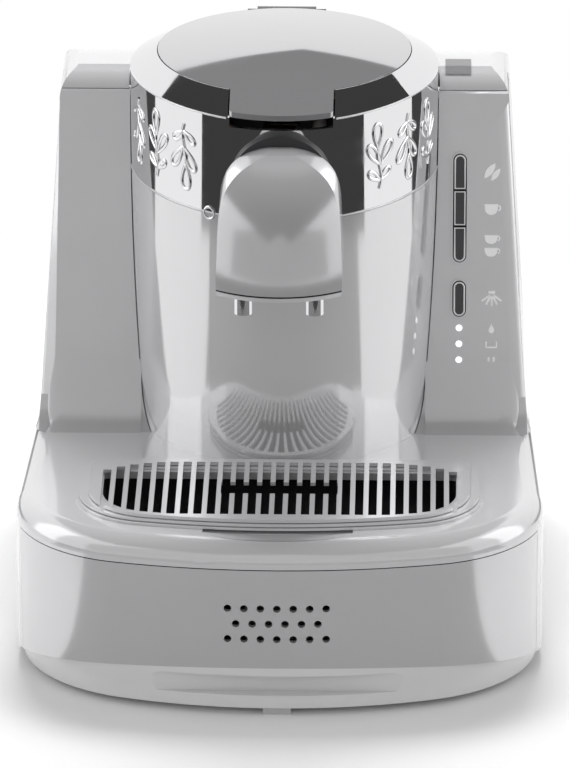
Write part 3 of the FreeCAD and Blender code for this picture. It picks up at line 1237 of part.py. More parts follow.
def lamp_rod(name, place, front, back, grow):
    shape = doc.addObject("Part::Cylinder", name)
    height = f"lamp_start + {place} * lamp_pitch"
    bind(shape, Radius=f"lamp_radius + {grow}", Height=f"({back}) - ({front})")
    shape.Placement = FreeCAD.Placement(FreeCAD.Vector(), FreeCAD.Rotation(FreeCAD.Vector(1, 0, 0), -90))
    bind(shape, Placement__Rotation__Angle="90 + lean", Placement__Base__x="button_side")
    shape.Placement.Rotation.Axis = FreeCAD.Vector(-1, 0, 0)
    bind(shape, Placement__Base__y=f"face_front + ({height} - face_low) * tan(lean) + ({front}) * cos(lean)")
    return bind(shape, Placement__Base__z=f"{height} - ({front}) * sin(lean)")


def face_block(name, across, deep, up, height):
    body = new_body(name)
    loop = [(across[0], up[0]), (across[1], up[0]), (across[1], up[1]), (across[0], up[1])]
    pad(body, draw(body, "outline", "XZ", [loop], f"-({deep[0]})"),
        f"({deep[1]}) - ({deep[0]})", backwards=True)
    return on_face(body, height)


# Pump, hoses, boards, cord outlet

def hose(name, corners):
    # straight runs joined by quarter bends
    points = [FreeCAD.Vector(*(number(text) for text in corner)) for corner in corners]
    bend, edges, start = number("hose_bend"), [], points[0]
    for before, corner, after in zip(points, points[1:], points[2:]):
        back, ahead = (before - corner).normalize(), (after - corner).normalize()
        arc_start, arc_end = corner + back * bend, corner + ahead * bend
        middle = corner + (back + ahead) * bend - (back + ahead).normalize() * bend
        edges.append(Part.LineSegment(start, arc_start).toShape())
        edges.append(Part.Arc(arc_start, middle, arc_end).toShape())
        start = arc_end
    edges.append(Part.LineSegment(start, points[-1]).toShape())
    path, way = Part.Wire(edges), (points[1] - points[0]).normalize()
    tubes = []
    for radius in ("hose_radius", "hose_bore"):
        section = Part.Wire(Part.Circle(points[0], way, number(radius)).toShape())
        tubes.append(path.makePipeShell([section], True, False))
    shape = doc.addObject("Part::Feature", name)
    shape.Shape = tubes[0].cut(tubes[1])
    return keep(name, shape)


def make_water_path():
    # tank outlet, pump and rising hose stand in one line
    front = "(pump_back - pump_length)"
    barrel = rod("pump_barrel", ("hose_side", front, "pump_height"), "pump_radius", "pump_length", "y")
    spigots = [rod(f"pump_spigot{index}", ("hose_side", along, "pump_height"), "hose_bore", "6", "y")
               for index, along in enumerate(("pump_back", f"{front} - 6"))]
    coil = block("pump_coil", ("hose_side - pump_radius - 2", "hose_side + pump_radius + 2"),
                 ("pump_back - 0.7 * pump_length", "pump_back - 0.3 * pump_length"),
                 ("pump_height - pump_radius + 1", "pump_height + pump_radius + 1"))
    keep("water_pump", fuse("water_pump", barrel, coil, *spigots))
    cradles = []
    for index, share in enumerate(("0.12", "0.8")):
        along = (f"{front} + {share} * pump_length", f"{front} + ({share} + 0.08) * pump_length")
        cradles.append(block(f"cradle{index}", ("hose_side - pump_radius", "hose_side + pump_radius"),
                             along, ("plate_top", "pump_height - pump_radius / 2")))
    seat = rod("cradle_seat", ("hose_side", front, "pump_height"), "pump_radius", "pump_length", "y")
    keep("pump_mount", cut("pump_mount", fuse("cradles", *cradles), seat))
    hose("inlet_hose", [
        ("hose_side", "seat_back", "shelf_height - 9"), ("hose_side", "seat_back", "pump_height"),
        ("hose_side", "pump_back", "pump_height"),
    ])
    rise, top = "tower_axis - hose_front", "pot_top + hose_radius + 1.5"
    hose("delivery_hose", [
        ("hose_side", front, "pump_height"), ("hose_side", rise, "pump_height"),
        ("hose_side", rise, top), ("hose_side", "pot_front + 6", top),
    ])


def make_electrics():
    sheet = block("board_base", ("-88", "-38"), ("-20", "60"), ("plate_top + 5", "plate_top + 5 + board_thickness"))
    posts = [rod(f"standoff{index}", (x, y, "plate_top"), "3", "5")
             for index, (x, y) in enumerate((("-83", "-15"), ("-43", "-15"), ("-83", "55"), ("-43", "55")))]
    top = "plate_top + 5 + board_thickness"
    parts = [
        block("transformer", ("-84", "-60"), ("-12", "14"), (top, f"{top} + 20")),
        rod("capacitor", ("-50", "0", top), "6", "16"),
        block("relay", ("-82", "-66"), ("26", "46"), (top, f"{top} + 14")),
        block("connector", ("-56", "-44"), ("30", "50"), (top, f"{top} + 9")),
    ]
    keep("power_board", fuse("power_board", sheet, *posts, *parts))
    spot = "(base_depth / 2)"
    flange = rod("gland_flange", ("-gland_side", f"{spot} - wall - 2", "gland_height"), "gland_radius + 2", "2", "y")
    neck = rod("gland_neck", ("-gland_side", f"{spot} - wall", "gland_height"), "gland_radius", "wall", "y")
    bore = rod("gland_hole", ("-gland_side", f"{spot} - wall - 3", "gland_height"), "gland_bore", "wall + 6", "y")
    keep("cord_gland", cut("cord_gland", fuse("gland_whole", flange, neck), bore))
    screws = []
    for index, (x, y) in enumerate(screw_spots()):
        head = rod(f"screw_head{index}", (x, y, "foot_height - 1.4"), "screw_radius", "1.4")
        shank = rod(f"screw_shank{index}", (x, y, "foot_height - 1.4"), "screw_shank", "screw_length")
        screws.append(fuse(f"screw{index}", head, shank))
    keep("base_screws", group("base_screws", *screws))


make_base_plate()
make_rubber_feet()
make_lower_housing()
make_front_panel()
make_speaker()
make_deck_cover()
make_drip_tray()
make_drip_grille()
make_tower()
make_shoulder_ring()
make_top_lid()
make_hinge_bracket()
make_brewing()
make_valve()
make_spout()
make_column()
make_tank()
make_tank_lid()
make_controls()
make_water_path()
make_electrics()
doc.recompute()

faults = [item.Name for item in doc.Objects if "Invalid" in item.State or "Error" in item.State]
faults += [item.Name for item in nodes if item.Shape.isNull() or not item.Shape.isValid()]
for item in nodes:
    box = item.Shape.BoundBox
    corners = [round(value, 1) for value in (box.XMin, box.XMax, box.YMin, box.YMax, box.ZMin, box.ZMax)]
    print(f"{item.Label:20s} {len(item.Shape.Solids)} {item.Shape.Volume / 1000:8.2f} cm3", corners)
if faults:
    raise RuntimeError("failed: " + ", ".join(faults))
os.makedirs("parts", exist_ok=True)
for item in nodes:
    item.Shape.exportStep(f"parts/{item.Label}.step")
print(len(nodes), "nodes written")
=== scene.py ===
import json
import math
import bpy
from mathutils import Matrix, Vector


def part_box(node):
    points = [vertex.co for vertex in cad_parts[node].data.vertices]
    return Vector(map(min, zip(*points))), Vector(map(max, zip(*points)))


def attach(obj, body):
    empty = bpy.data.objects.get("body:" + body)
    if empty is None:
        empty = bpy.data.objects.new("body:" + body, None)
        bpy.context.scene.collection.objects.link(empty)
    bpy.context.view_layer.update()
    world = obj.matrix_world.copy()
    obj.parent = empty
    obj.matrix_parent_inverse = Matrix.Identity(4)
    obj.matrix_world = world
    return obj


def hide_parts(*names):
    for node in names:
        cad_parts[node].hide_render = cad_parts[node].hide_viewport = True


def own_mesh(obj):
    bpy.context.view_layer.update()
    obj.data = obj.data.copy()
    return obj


# Turkish coffee maker: finishes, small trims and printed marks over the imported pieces.
# Metres, +Z up, the front faces -Y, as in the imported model.

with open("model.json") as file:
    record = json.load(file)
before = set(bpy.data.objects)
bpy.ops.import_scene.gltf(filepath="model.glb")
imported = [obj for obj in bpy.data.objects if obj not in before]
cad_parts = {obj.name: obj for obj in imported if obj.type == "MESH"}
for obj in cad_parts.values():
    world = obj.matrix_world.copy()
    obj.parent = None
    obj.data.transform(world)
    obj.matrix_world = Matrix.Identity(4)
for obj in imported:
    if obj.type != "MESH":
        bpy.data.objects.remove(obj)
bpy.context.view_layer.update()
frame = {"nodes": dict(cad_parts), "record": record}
cadNodes = frame["nodes"]
print("frame loaded:", len(cadNodes), "nodes")


# Shader groups

def startGroup(name, inputs, outputs):
    group = bpy.data.node_groups.new(name, "ShaderNodeTree")
    for label, kind, value in inputs:
        socket = group.interface.new_socket(name=label, in_out="INPUT", socket_type=kind)
        socket.default_value = value
    for label, kind in outputs:
        group.interface.new_socket(name=label, in_out="OUTPUT", socket_type=kind)
    return group, group.nodes.new("NodeGroupInput"), group.nodes.new("NodeGroupOutput")


def addNode(tree, kind, inputs=None, **settings):
    node = tree.nodes.new(kind)
    for key, value in settings.items():
        setattr(node, key, value)
    for key, value in (inputs or {}).items():
        socket = node.inputs[key]
        if isinstance(value, bpy.types.NodeSocket):
            tree.links.new(value, socket)
        else:
            socket.default_value = value
    return node


def tintAndGloss(group, start, end, field, amount, roughShare):
    # a 0 to 1 field shifts the tint by the named amount and the roughness by a fixed share
    centred = addNode(group, "ShaderNodeMath", {0: field, 1: 0.5}, operation="SUBTRACT")
    shift = addNode(group, "ShaderNodeMath", {0: centred.outputs[0], 1: start.outputs[amount], 2: 1.0},
                    operation="MULTIPLY_ADD")
    tone = addNode(group, "ShaderNodeVectorMath", {0: start.outputs["Tint"], 1: shift.outputs[0]},
                   operation="MULTIPLY")
    rough = addNode(group, "ShaderNodeMath", {0: centred.outputs[0], 1: roughShare,
                                              2: start.outputs["Gloss"]}, operation="MULTIPLY_ADD")
    group.links.new(tone.outputs[0], end.inputs["Color"])
    group.links.new(rough.outputs[0], end.inputs["Roughness"])


skinOutputs = [("Color", "NodeSocketColor"), ("Roughness", "NodeSocketFloat"),
               ("Height", "NodeSocketFloat")]


def buildMouldedSkin():
    # moulded or lacquered surface: soft clouds in the tone, fine orange peel, uneven gloss
    group, start, end = startGroup("mouldedSkin", [
        ("Tint", "NodeSocketColor", (0.8, 0.8, 0.8, 1)), ("Clouding", "NodeSocketFloat", 0.05),
        ("Peel Scale", "NodeSocketFloat", 900.0), ("Gloss", "NodeSocketFloat", 0.2)], skinOutputs)
    place = addNode(group, "ShaderNodeTexCoord").outputs["Object"]
    cloud = addNode(group, "ShaderNodeTexNoise", {"Vector": place, "Scale": 22.0, "Detail": 3.0})
    peel = addNode(group, "ShaderNodeTexNoise", {"Vector": place, "Scale": start.outputs["Peel Scale"],
                                                 "Detail": 2.0})
    tintAndGloss(group, start, end, cloud.outputs["Fac"], "Clouding", 0.08)
    group.links.new(peel.outputs["Fac"], end.inputs["Height"])
    return group


def buildBrushedSkin():
    # drawn or turned metal: long fine streaks along one axis
    group, start, end = startGroup("brushedSkin", [
        ("Tint", "NodeSocketColor", (0.7, 0.7, 0.7, 1)), ("Streaks", "NodeSocketVector", (30, 30, 900)),
        ("Contrast", "NodeSocketFloat", 0.12), ("Gloss", "NodeSocketFloat", 0.25)], skinOutputs)
    place = addNode(group, "ShaderNodeTexCoord").outputs["Object"]
    stretched = addNode(group, "ShaderNodeMapping", {"Vector": place, "Scale": start.outputs["Streaks"]})
    streak = addNode(group, "ShaderNodeTexNoise", {"Vector": stretched.outputs[0], "Scale": 1.0,
                                                   "Detail": 4.0})
    tintAndGloss(group, start, end, streak.outputs["Fac"], "Contrast", 0.25)
    group.links.new(streak.outputs["Fac"], end.inputs["Height"])
    return group


def buildZoneMask():
    # 1 between two heights, 0 outside them, with soft steps
    group, start, end = startGroup("zoneMask", [
        ("Low", "NodeSocketFloat", 0.0), ("High", "NodeSocketFloat", 1.0),
        ("Softness", "NodeSocketFloat", 0.0002)], [("Mask", "NodeSocketFloat")])
    place = addNode(group, "ShaderNodeTexCoord").outputs["Object"]
    height = addNode(group, "ShaderNodeSeparateXYZ", {"Vector": place}).outputs["Z"]
    over = addNode(group, "ShaderNodeMath", {0: height, 1: start.outputs["Low"]}, operation="SUBTRACT")
    under = addNode(group, "ShaderNodeMath", {0: start.outputs["High"], 1: height}, operation="SUBTRACT")
    least = addNode(group, "ShaderNodeMath", {0: over.outputs[0], 1: under.outputs[0]}, operation="MINIMUM")
    mask = addNode(group, "ShaderNodeMath", {0: least.outputs[0], 1: start.outputs["Softness"]},
                   operation="DIVIDE", use_clamp=True)
    group.links.new(mask.outputs[0], end.inputs["Mask"])
    return group


mouldedSkin = buildMouldedSkin()
brushedSkin = buildBrushedSkin()
zoneMask = buildZoneMask()


# Materials

def startMaterial(name, **values):
    material = bpy.data.materials.new(name)
    material.use_nodes = True
    tree = material.node_tree
    shader = tree.nodes["Principled BSDF"]
    for key, value in values.items():
        shader.inputs[key.replace("_", " ")].default_value = value
    return material, tree, shader


def wearSkin(tree, shader, skin, peelDepth, **values):
    # puts a skin group in front of the shader, with its bump
    group = addNode(tree, "ShaderNodeGroup", node_tree=skin)
    for key, value in values.items():
        group.inputs[key.replace("_", " ")].default_value = value
    bump = addNode(tree, "ShaderNodeBump", {"Height": group.outputs["Height"], "Distance": peelDepth,
                                            "Strength": 1.0})
    tree.links.new(group.outputs["Color"], shader.inputs["Base Color"])
    tree.links.new(group.outputs["Roughness"], shader.inputs["Roughness"])
    tree.links.new(bump.outputs[0], shader.inputs["Normal"])
    return group


plasticLooks = {
    # tint, clouding, peel scale, gloss, peel depth, coat, metallic
    "casingWhite": ((0.68, 0.68, 0.69, 1), 0.03, 500.0, 0.14, 2e-6, 0.6, 0.25),
    "trayShell": ((0.68, 0.68, 0.69, 1), 0.03, 500.0, 0.14, 2e-6, 0.6, 0.25),
    "baseWhite": ((0.74, 0.74, 0.74, 1), 0.03, 500.0, 0.2, 2e-6, 0.4, 0.1),
    "panelSilver": ((0.68, 0.68, 0.69, 1), 0.10, 500.0, 0.2, 2e-6, 0.5, 0.35),
    "frontSilver": ((0.66, 0.66, 0.67, 1), 0.04, 500.0, 0.18, 2e-6, 0.5, 0.45),
    "towerPearl": ((0.76, 0.76, 0.77, 1), 0.02, 500.0, 0.08, 1e-6, 0.6, 0.5),
    "spoutSilver": ((0.62, 0.62, 0.63, 1), 0.02, 500.0, 0.20, 1e-6, 0.6, 0.5),
    "lidSilver": ((0.52, 0.52, 0.53, 1), 0.02, 500.0, 0.06, 1e-6, 0.8, 0.65),
    "footGrey": ((0.52, 0.52, 0.52, 1), 0.1, 1400.0, 0.6, 1e-5, 0.0, 0.0),
    "baseGrey": ((0.62, 0.62, 0.63, 1), 0.05, 700.0, 0.34, 4e-6, 0.0, 0.0),
    "gripGrey": ((0.22, 0.22, 0.225, 1), 0.08, 900.0, 0.3, 3e-6, 0.3, 0.0),
    "darkPlastic": ((0.03, 0.03, 0.032, 1), 0.2, 900.0, 0.42, 8e-6, 0.0, 0.0),
    "buttonGrey": ((0.045, 0.045, 0.048, 1), 0.1, 900.0, 0.22, 3e-6, 0.4, 0.0),
    "softRubber": ((0.03, 0.03, 0.03, 1), 0.25, 1400.0, 0.75, 2e-5, 0.0, 0.0),
    "hoseMilk": ((0.62, 0.61, 0.57, 1), 0.08, 600.0, 0.42, 6e-6, 0.0, 0.0),
    "markWhite": ((0.95, 0.95, 0.95, 1), 0.05, 2500.0, 0.5, 4e-6, 0.0, 0.0),
}
metalLooks = {
    # tint, streak scales, contrast, gloss, depth
    "chromeBright": ((0.80, 0.80, 0.81, 1), (8, 8, 60), 0.03, 0.05, 2e-7),
    "drawnSteel": ((0.55, 0.55, 0.54, 1), (60, 60, 1500), 0.16, 0.26, 2e-6),
    "woundCopper": ((0.60, 0.27, 0.12, 1), (40, 40, 2600), 0.5, 0.34, 3e-5),
}
looks = {}
for name, (tint, clouding, peel, gloss, depth, coat, metallic) in plasticLooks.items():
    material, tree, shader = startMaterial(name, Metallic=metallic, Coat_Weight=coat, Coat_Roughness=0.04)
    wearSkin(tree, shader, mouldedSkin, depth, Tint=tint, Clouding=clouding, Peel_Scale=peel, Gloss=gloss)
    looks[name] = material
for name, (tint, streaks, contrast, gloss, depth) in metalLooks.items():
    material, tree, shader = startMaterial(name, Metallic=1.0)
    wearSkin(tree, shader, brushedSkin, depth, Tint=tint, Streaks=streaks, Contrast=contrast, Gloss=gloss)
    looks[name] = material


def paintZone(material, low, high, tint):
    # another colour between two heights, such as a seam line, or painted shade on the drip tray's insides
    tree = material.node_tree
    shader = tree.nodes["Principled BSDF"]
    under = shader.inputs["Base Color"].links[0].from_socket
    mask = addNode(tree, "ShaderNodeGroup", {"Low": low, "High": high}, node_tree=zoneMask)
    mix = addNode(tree, "ShaderNodeMix", {"Factor": mask.outputs[0]}, data_type="RGBA")
    tree.links.new(under, mix.inputs["A"])
    mix.inputs["B"].default_value = tint
    tree.links.new(mix.outputs["Result"], shader.inputs["Base Color"])


def buildSmokyTank():
    # smoky clear moulding with faint flow lines
    material, tree, shader = startMaterial("smokyTank", Transmission_Weight=0.85, IOR=1.49)
    wearSkin(tree, shader, brushedSkin, 3e-6, Tint=(0.42, 0.44, 0.47, 1), Streaks=(20, 20, 90),
             Contrast=0.1, Gloss=0.08)
    return material


def buildLampLens(glow=0.8):
    # milky lens that is lit from behind
    material, tree, shader = startMaterial("lampLens", Emission_Strength=glow)
    group = wearSkin(tree, shader, mouldedSkin, 1e-6, Tint=(0.85, 0.86, 0.88, 1), Clouding=0.06,
                     Peel_Scale=1500.0, Gloss=0.3)
    tree.links.new(group.outputs["Color"], shader.inputs["Emission Color"])
    return material


def buildCircuitBoard():
    # green lacquer over copper tracks
    material, tree, shader = startMaterial("circuitBoard", Coat_Weight=0.5)
    place = addNode(tree, "ShaderNodeTexCoord").outputs["Object"]
    tracks = addNode(tree, "ShaderNodeTexBrick", {
        "Vector": place, "Scale": 130.0, "Mortar Size": 0.06, "Color1": (0.015, 0.12, 0.04, 1),
        "Color2": (0.02, 0.16, 0.06, 1), "Mortar": (0.16, 0.30, 0.10, 1)})
    speck = addNode(tree, "ShaderNodeTexNoise", {"Vector": place, "Scale": 700.0})
    rough = addNode(tree, "ShaderNodeMath", {0: speck.outputs["Fac"], 1: 0.25, 2: 0.25},
                    operation="MULTIPLY_ADD")
    bump = addNode(tree, "ShaderNodeBump", {"Height": tracks.outputs["Fac"], "Distance": 4e-5})
    tree.links.new(tracks.outputs["Color"], shader.inputs["Base Color"])
    tree.links.new(rough.outputs[0], shader.inputs["Roughness"])
    tree.links.new(bump.outputs[0], shader.inputs["Normal"])
    return material


looks["smokyTank"] = buildSmokyTank()
looks["lampLens"] = buildLampLens()
looks["circuitBoard"] = buildCircuitBoard()
seamBlack = (0.015, 0.015, 0.016, 1)
paintedZones = [
    # look, from height, to height, colour
    # the drip tray's insides, seen through its slots, painted nearly black: painted shade
    ("trayShell", 0.0, 0.0727, (0.02, 0.02, 0.022, 1)),
    ("frontSilver", 0.0612, 0.0630, seamBlack),
    ("frontSilver", 0.0080, 0.0102, seamBlack),
    ("spoutSilver", 0.1626, 0.1634, seamBlack),
    ("spoutSilver", 0.1600, 0.1626, (0.85, 0.85, 0.86, 1)),
]
for look, low, high, tint in paintedZones:
    paintZone(looks[look], low, high, tint)
print("materials built:", len(looks))

slotLooks = {
    "casing": "casingWhite", "panel": "panelSilver", "base_grey": "baseGrey",
    "bright_metal": "chromeBright", "steel": "drawnSteel", "dark_plastic": "darkPlastic",
    "button_grey": "buttonGrey", "rubber": "softRubber", "clear_grey": "smokyTank", "lens": "lampLens",
    "board": "circuitBoard", "hose": "hoseMilk", "copper": "woundCopper",
}
ownLooks = {
    "drip_tray": "trayShell", "top_lid": "lidSilver", "shoulder_ring": "chromeBright",
    "front_panel": "frontSilver", "base_plate": "baseWhite", "tower_cover": "towerPearl",
    "spout_cover": "spoutSilver", "rubber_feet": "footGrey", "tank_lid_grip": "gripGrey",
    "button_surrounds": "casingWhite", "hinge_bracket": "lidSilver",
}


def dressPiece(piece, look):
    piece.data.materials.clear()
    piece.data.materials.append(looks[look])


for subpart in frame["record"]["subparts"]:
    name = subpart["node"]
    dressPiece(cadNodes[name], ownLooks.get(name, slotLooks[subpart["material_slot"]]))
print("packed pieces dressed")


# Modelling helpers

def selectOnly(*chosen):
    bpy.ops.object.select_all(action="DESELECT")
    for thing in chosen:
        thing.select_set(True)
    bpy.context.view_layer.objects.active = chosen[-1]


def applyModifiers(piece):
    selectOnly(piece)
    for modifier in list(piece.modifiers):
        bpy.ops.object.modifier_apply(modifier=modifier.name)


def settle(piece, place):
    # the place goes into the mesh, so the object stays at the origin
    selectOnly(piece)
    piece.matrix_world = place @ piece.matrix_world
    bpy.context.view_layer.update()
    bpy.ops.object.transform_apply(location=True, rotation=True, scale=True)


def turnFacesOut():
    # makes the selected object's faces look outward
    bpy.ops.object.mode_set(mode="EDIT")
    bpy.ops.mesh.select_all(action="SELECT")
    bpy.ops.mesh.normals_make_consistent(inside=False)
    bpy.ops.object.mode_set(mode="OBJECT")


def copyPiece(source):
    piece = source.copy()
    piece.data = source.data.copy()
    bpy.context.scene.collection.objects.link(piece)
    return piece


def finishPiece(piece, name, body, look):
    piece.name = name
    piece.data.name = name
    dressPiece(piece, look)
    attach(piece, body)


def joinPieces(parts):
    selectOnly(*parts)
    if len(parts) > 1:
        bpy.ops.object.join()
    return bpy.context.view_layer.objects.active


# The column's face leans back, and carries the keys and the printed marks

columnFace = {"front": 0.005, "low": 0.085, "lean": math.radians(13.1)}


def faceAlong(height):
    # how far back the leaning face lies at a height
    return columnFace["front"] + (height - columnFace["low"]) * math.tan(columnFace["lean"])


def faceTurn():
    # turns own Y to go up the face
    return Matrix.Rotation(math.radians(90) - columnFace["lean"], 4, "X")


# Printed marks beside the keys: flat shapes, drawn in millimetres

def flatShape(points, thickness):
    # an outline in the XY plane, filled and given a little thickness
    bpy.ops.object.select_all(action="DESELECT")
    bpy.ops.mesh.primitive_circle_add(vertices=len(points), radius=1.0, fill_type="NGON")
    piece = bpy.context.active_object
    for vertex, (x, y) in zip(piece.data.vertices, points):
        vertex.co = (x, y, 0)
    bpy.ops.object.mode_set(mode="EDIT")
    bpy.ops.mesh.select_all(action="SELECT")
    bpy.ops.mesh.normals_make_consistent(inside=False)
    bpy.ops.mesh.extrude_region_move(TRANSFORM_OT_translate={"value": (0, 0, thickness)})
    bpy.ops.object.mode_set(mode="OBJECT")
    turnFacesOut()
    return piece


def leafPoints(length, width, centre):
    # a leaf pointed at both ends, leaning to the right
    steps, fullness, lean = 9, 0.8, 0.62
    points = []
    for step in range(steps):
        t = step / steps
        points.append((-width * math.sin(math.pi * t) ** fullness, length * (t - 0.5)))
    for step in range(steps):
        t = step / steps
        points.append((width * math.sin(math.pi * t) ** fullness, length * (0.5 - t)))
    c, s = math.cos(lean), math.sin(lean)
    return [(centre[0] + x * c + y * s, centre[1] - x * s + y * c) for x, y in points]


def cupPoints(width, height, centre):
    # a small cup seen from the side: wide rim, round bottom
    look = {"waist": 0.93, "bowl": 0.82, "bowlDrop": 0.1, "bowlDepth": 0.4, "from": 200, "sweep": 140,
            "steps": 6}
    half, x0, y0 = width / 2, centre[0], centre[1]
    points = [(x0 - half, y0 + height / 2), (x0 - half * look["waist"], y0)]
    for step in range(look["steps"] + 1):
        turn = math.radians(look["from"] + step * look["sweep"] / look["steps"])
        points.append((x0 + half * look["bowl"] * math.cos(turn),
                       y0 - height * look["bowlDrop"] + height * look["bowlDepth"] * math.sin(turn)))
    return points + [(x0 + half * look["waist"], y0), (x0 + half, y0 + height / 2)]


def handlePoints(centre, outer, inner):
    # a half ring: the cup's handle
    reach, steps = 80, 8
    arc = [math.radians(-reach + 2 * reach * n / steps) for n in range(steps + 1)]
    return ([(centre[0] + outer * math.cos(a), centre[1] + outer * math.sin(a)) for a in arc]
            + [(centre[0] + inner * math.cos(a), centre[1] + inner * math.sin(a)) for a in reversed(arc)])


def barPoints(width, height, x0, y0):
    return [(x0 - width / 2, y0 - height / 2), (x0 + width / 2, y0 - height / 2),
            (x0 + width / 2, y0 + height / 2), (x0 - width / 2, y0 + height / 2)]


def turnPoints(points, angle, centre):
    c, s = math.cos(angle), math.sin(angle)
    return [(centre[0] + x * c - y * s, centre[1] + x * s + y * c) for x, y in points]


markPlace = {"across": 0.0841, "thickness": 0.00012, "proud": 0.00006}
millimetre = 0.001


def makeMark(name, height, outlines):
    look = markPlace
    mark = joinPieces([flatShape([(x * millimetre, y * millimetre) for x, y in points], look["thickness"])
                       for points in outlines])
    sunk = Matrix.Translation((0, 0, look["proud"] - look["thickness"]))
    settle(mark, Matrix.Translation((look["across"], faceAlong(height), height)) @ faceTurn() @ sunk)
    finishPiece(mark, name, "machine", "markWhite")


spray = [turnPoints(barPoints(0.75, 4.6, 0, -2.6), angle, (0, 2.4))
         for angle in (-0.95, -0.48, 0, 0.48, 0.95)]
markShapes = {
    # height in metres, outlines in millimetres
    "mark_foam": (0.1740, [leafPoints(7.6, 1.35, (-1.1, 0.6)), leafPoints(6.2, 1.1, (1.3, -0.9))]),
    "mark_one_cup": (0.1593, [cupPoints(5.6, 4.4, (-0.4, 0)), handlePoints((2.3, 0.6), 1.3, 0.7)]),
    "mark_two_cups": (0.1449, [cupPoints(5.4, 3.6, (-0.4, 2.6)), handlePoints((2.2, 3.1), 1.2, 0.65),
                               cupPoints(5.4, 3.6, (-0.4, -2.6)), handlePoints((2.2, -2.1), 1.2, 0.65)]),
    "mark_rinse": (0.1235, [barPoints(2.6, 1.0, 0, 3.1)] + spray),
    "mark_drop": (0.1120, [[(0, 2.1), (-0.5, 1.0), (-1.0, 0.1), (-1.2, -0.7), (-0.9, -1.5), (0, -1.9),
                            (0.9, -1.5), (1.2, -0.7), (1.0, 0.1), (0.5, 1.0)]]),
    "mark_tray": (0.1058, [barPoints(0.6, 2.4, -2.1, 0), barPoints(0.6, 2.4, 2.1, 0),
                           barPoints(4.8, 0.6, 0, -1.2)]),
    "mark_bars": (0.0994, [barPoints(0.9, 2.8, -1.0, 0), barPoints(0.9, 2.8, 1.0, 0)]),
}
for name, (height, outlines) in markShapes.items():
    makeMark(name, height, outlines)
print("printed marks made:", len(markShapes))


# The band: its plan runs nose arc, side arc, back half circle, on both sides alike

towerPlan = {"noseRadius": 0.050, "noseBack": 0.010, "noseTurn": math.radians(34.9), "sideRadius": 0.078,
             "sideIn": 0.016, "middle": 0.033, "backRadius": 0.062}


def planPoint(run):
    # place and outward direction at an arc length from the middle of the front
    plan = towerPlan
    sign = 1 if run >= 0 else -1
    run = abs(run)
    noseEnd = plan["noseRadius"] * plan["noseTurn"]
    sideEnd = noseEnd + plan["sideRadius"] * (math.pi / 2 - plan["noseTurn"])
    if run <= noseEnd:
        turn, radius, across, along = run / plan["noseRadius"], plan["noseRadius"], 0, plan["noseBack"]
    elif run <= sideEnd:
        turn = plan["noseTurn"] + (run - noseEnd) / plan["sideRadius"]
        radius, across, along = plan["sideRadius"], -plan["sideIn"], plan["middle"]
    else:
        turn = math.pi / 2 + (run - sideEnd) / plan["backRadius"]
        radius, across, along = plan["backRadius"], 0, plan["middle"]
    out = Vector((math.sin(turn) * sign, -math.cos(turn), 0))
    return Vector((sign * across + out.x * radius, along + out.y * radius, 0)), out


def bendRound(piece, run, height, way=1):
    # flat XY shape to the band: X along the plan, Y up, Z outward, turned over where way is -1
    for vertex in piece.data.vertices:
        across, up, outward = vertex.co
        place, out = planPoint(run + way * across)
        vertex.co = place + out * outward + Vector((0, 0, height + way * up))


wireSmooth = math.radians(50)


def wireShape(name, lines, radius, flat=1.0, resolution=3):
    # round wires along open or closed lines, made into one mesh
    data = bpy.data.curves.new(name, "CURVE")
    data.dimensions = "3D"
    data.bevel_depth = radius
    data.bevel_resolution = resolution
    data.use_fill_caps = True
    for points, closed in lines:
        spline = data.splines.new("POLY")
        spline.points.add(len(points) - 1)
        for spot, point in zip(spline.points, points):
            spot.co = (*point, 1) if len(point) == 3 else (*point, 0, 1)
        spline.use_cyclic_u = closed
    wire = bpy.data.objects.new(name, data)
    bpy.context.scene.collection.objects.link(wire)
    selectOnly(wire)
    bpy.ops.object.convert(target="MESH")
    wire = bpy.context.view_layer.objects.active
    for vertex in wire.data.vertices:
        vertex.co.z *= flat
    turnFacesOut()
    bpy.ops.object.shade_smooth_by_angle(angle=wireSmooth)
    return wire


def loopPoints(length, width, lean, root):
    # a closed teardrop loop that grows from its root and leans to one side
    steps, pointed = 20, 1.2
    points = []
    for step in range(steps):
        t = 2 * math.pi * step / steps
        up = length * (1 - math.cos(t)) / 2
        aside = width / 2 * math.sin(t) * math.sin(t / 2) ** pointed
        points.append((root[0] + aside * math.cos(lean) + up * math.sin(lean),
                       root[1] - aside * math.sin(lean) + up * math.cos(lean)))
    return points


bandSprig = {
    "height": 0.1975, "lineRadius": 0.00095, "flat": 0.75, "sink": 0.0002, "runs": (0.0435, 0.0615, 0.0795),
    "stemLow": -0.0135, "stemHigh": 0.0035, "stemSway": 0.0011, "stemWaves": 0.9, "stemSteps": 6,
    "tipLeaf": (0.0105, 0.0062), "leaves": [
        # length, width, lean, root
        (0.0110, 0.0050, 0.62, (0.0006, -0.0035)), (0.0110, 0.0050, -0.62, (0.0006, -0.0035)),
        (0.0072, 0.0036, 0.95, (0.0003, -0.0100)), (0.0072, 0.0036, -0.95, (0.0003, -0.0100))]}


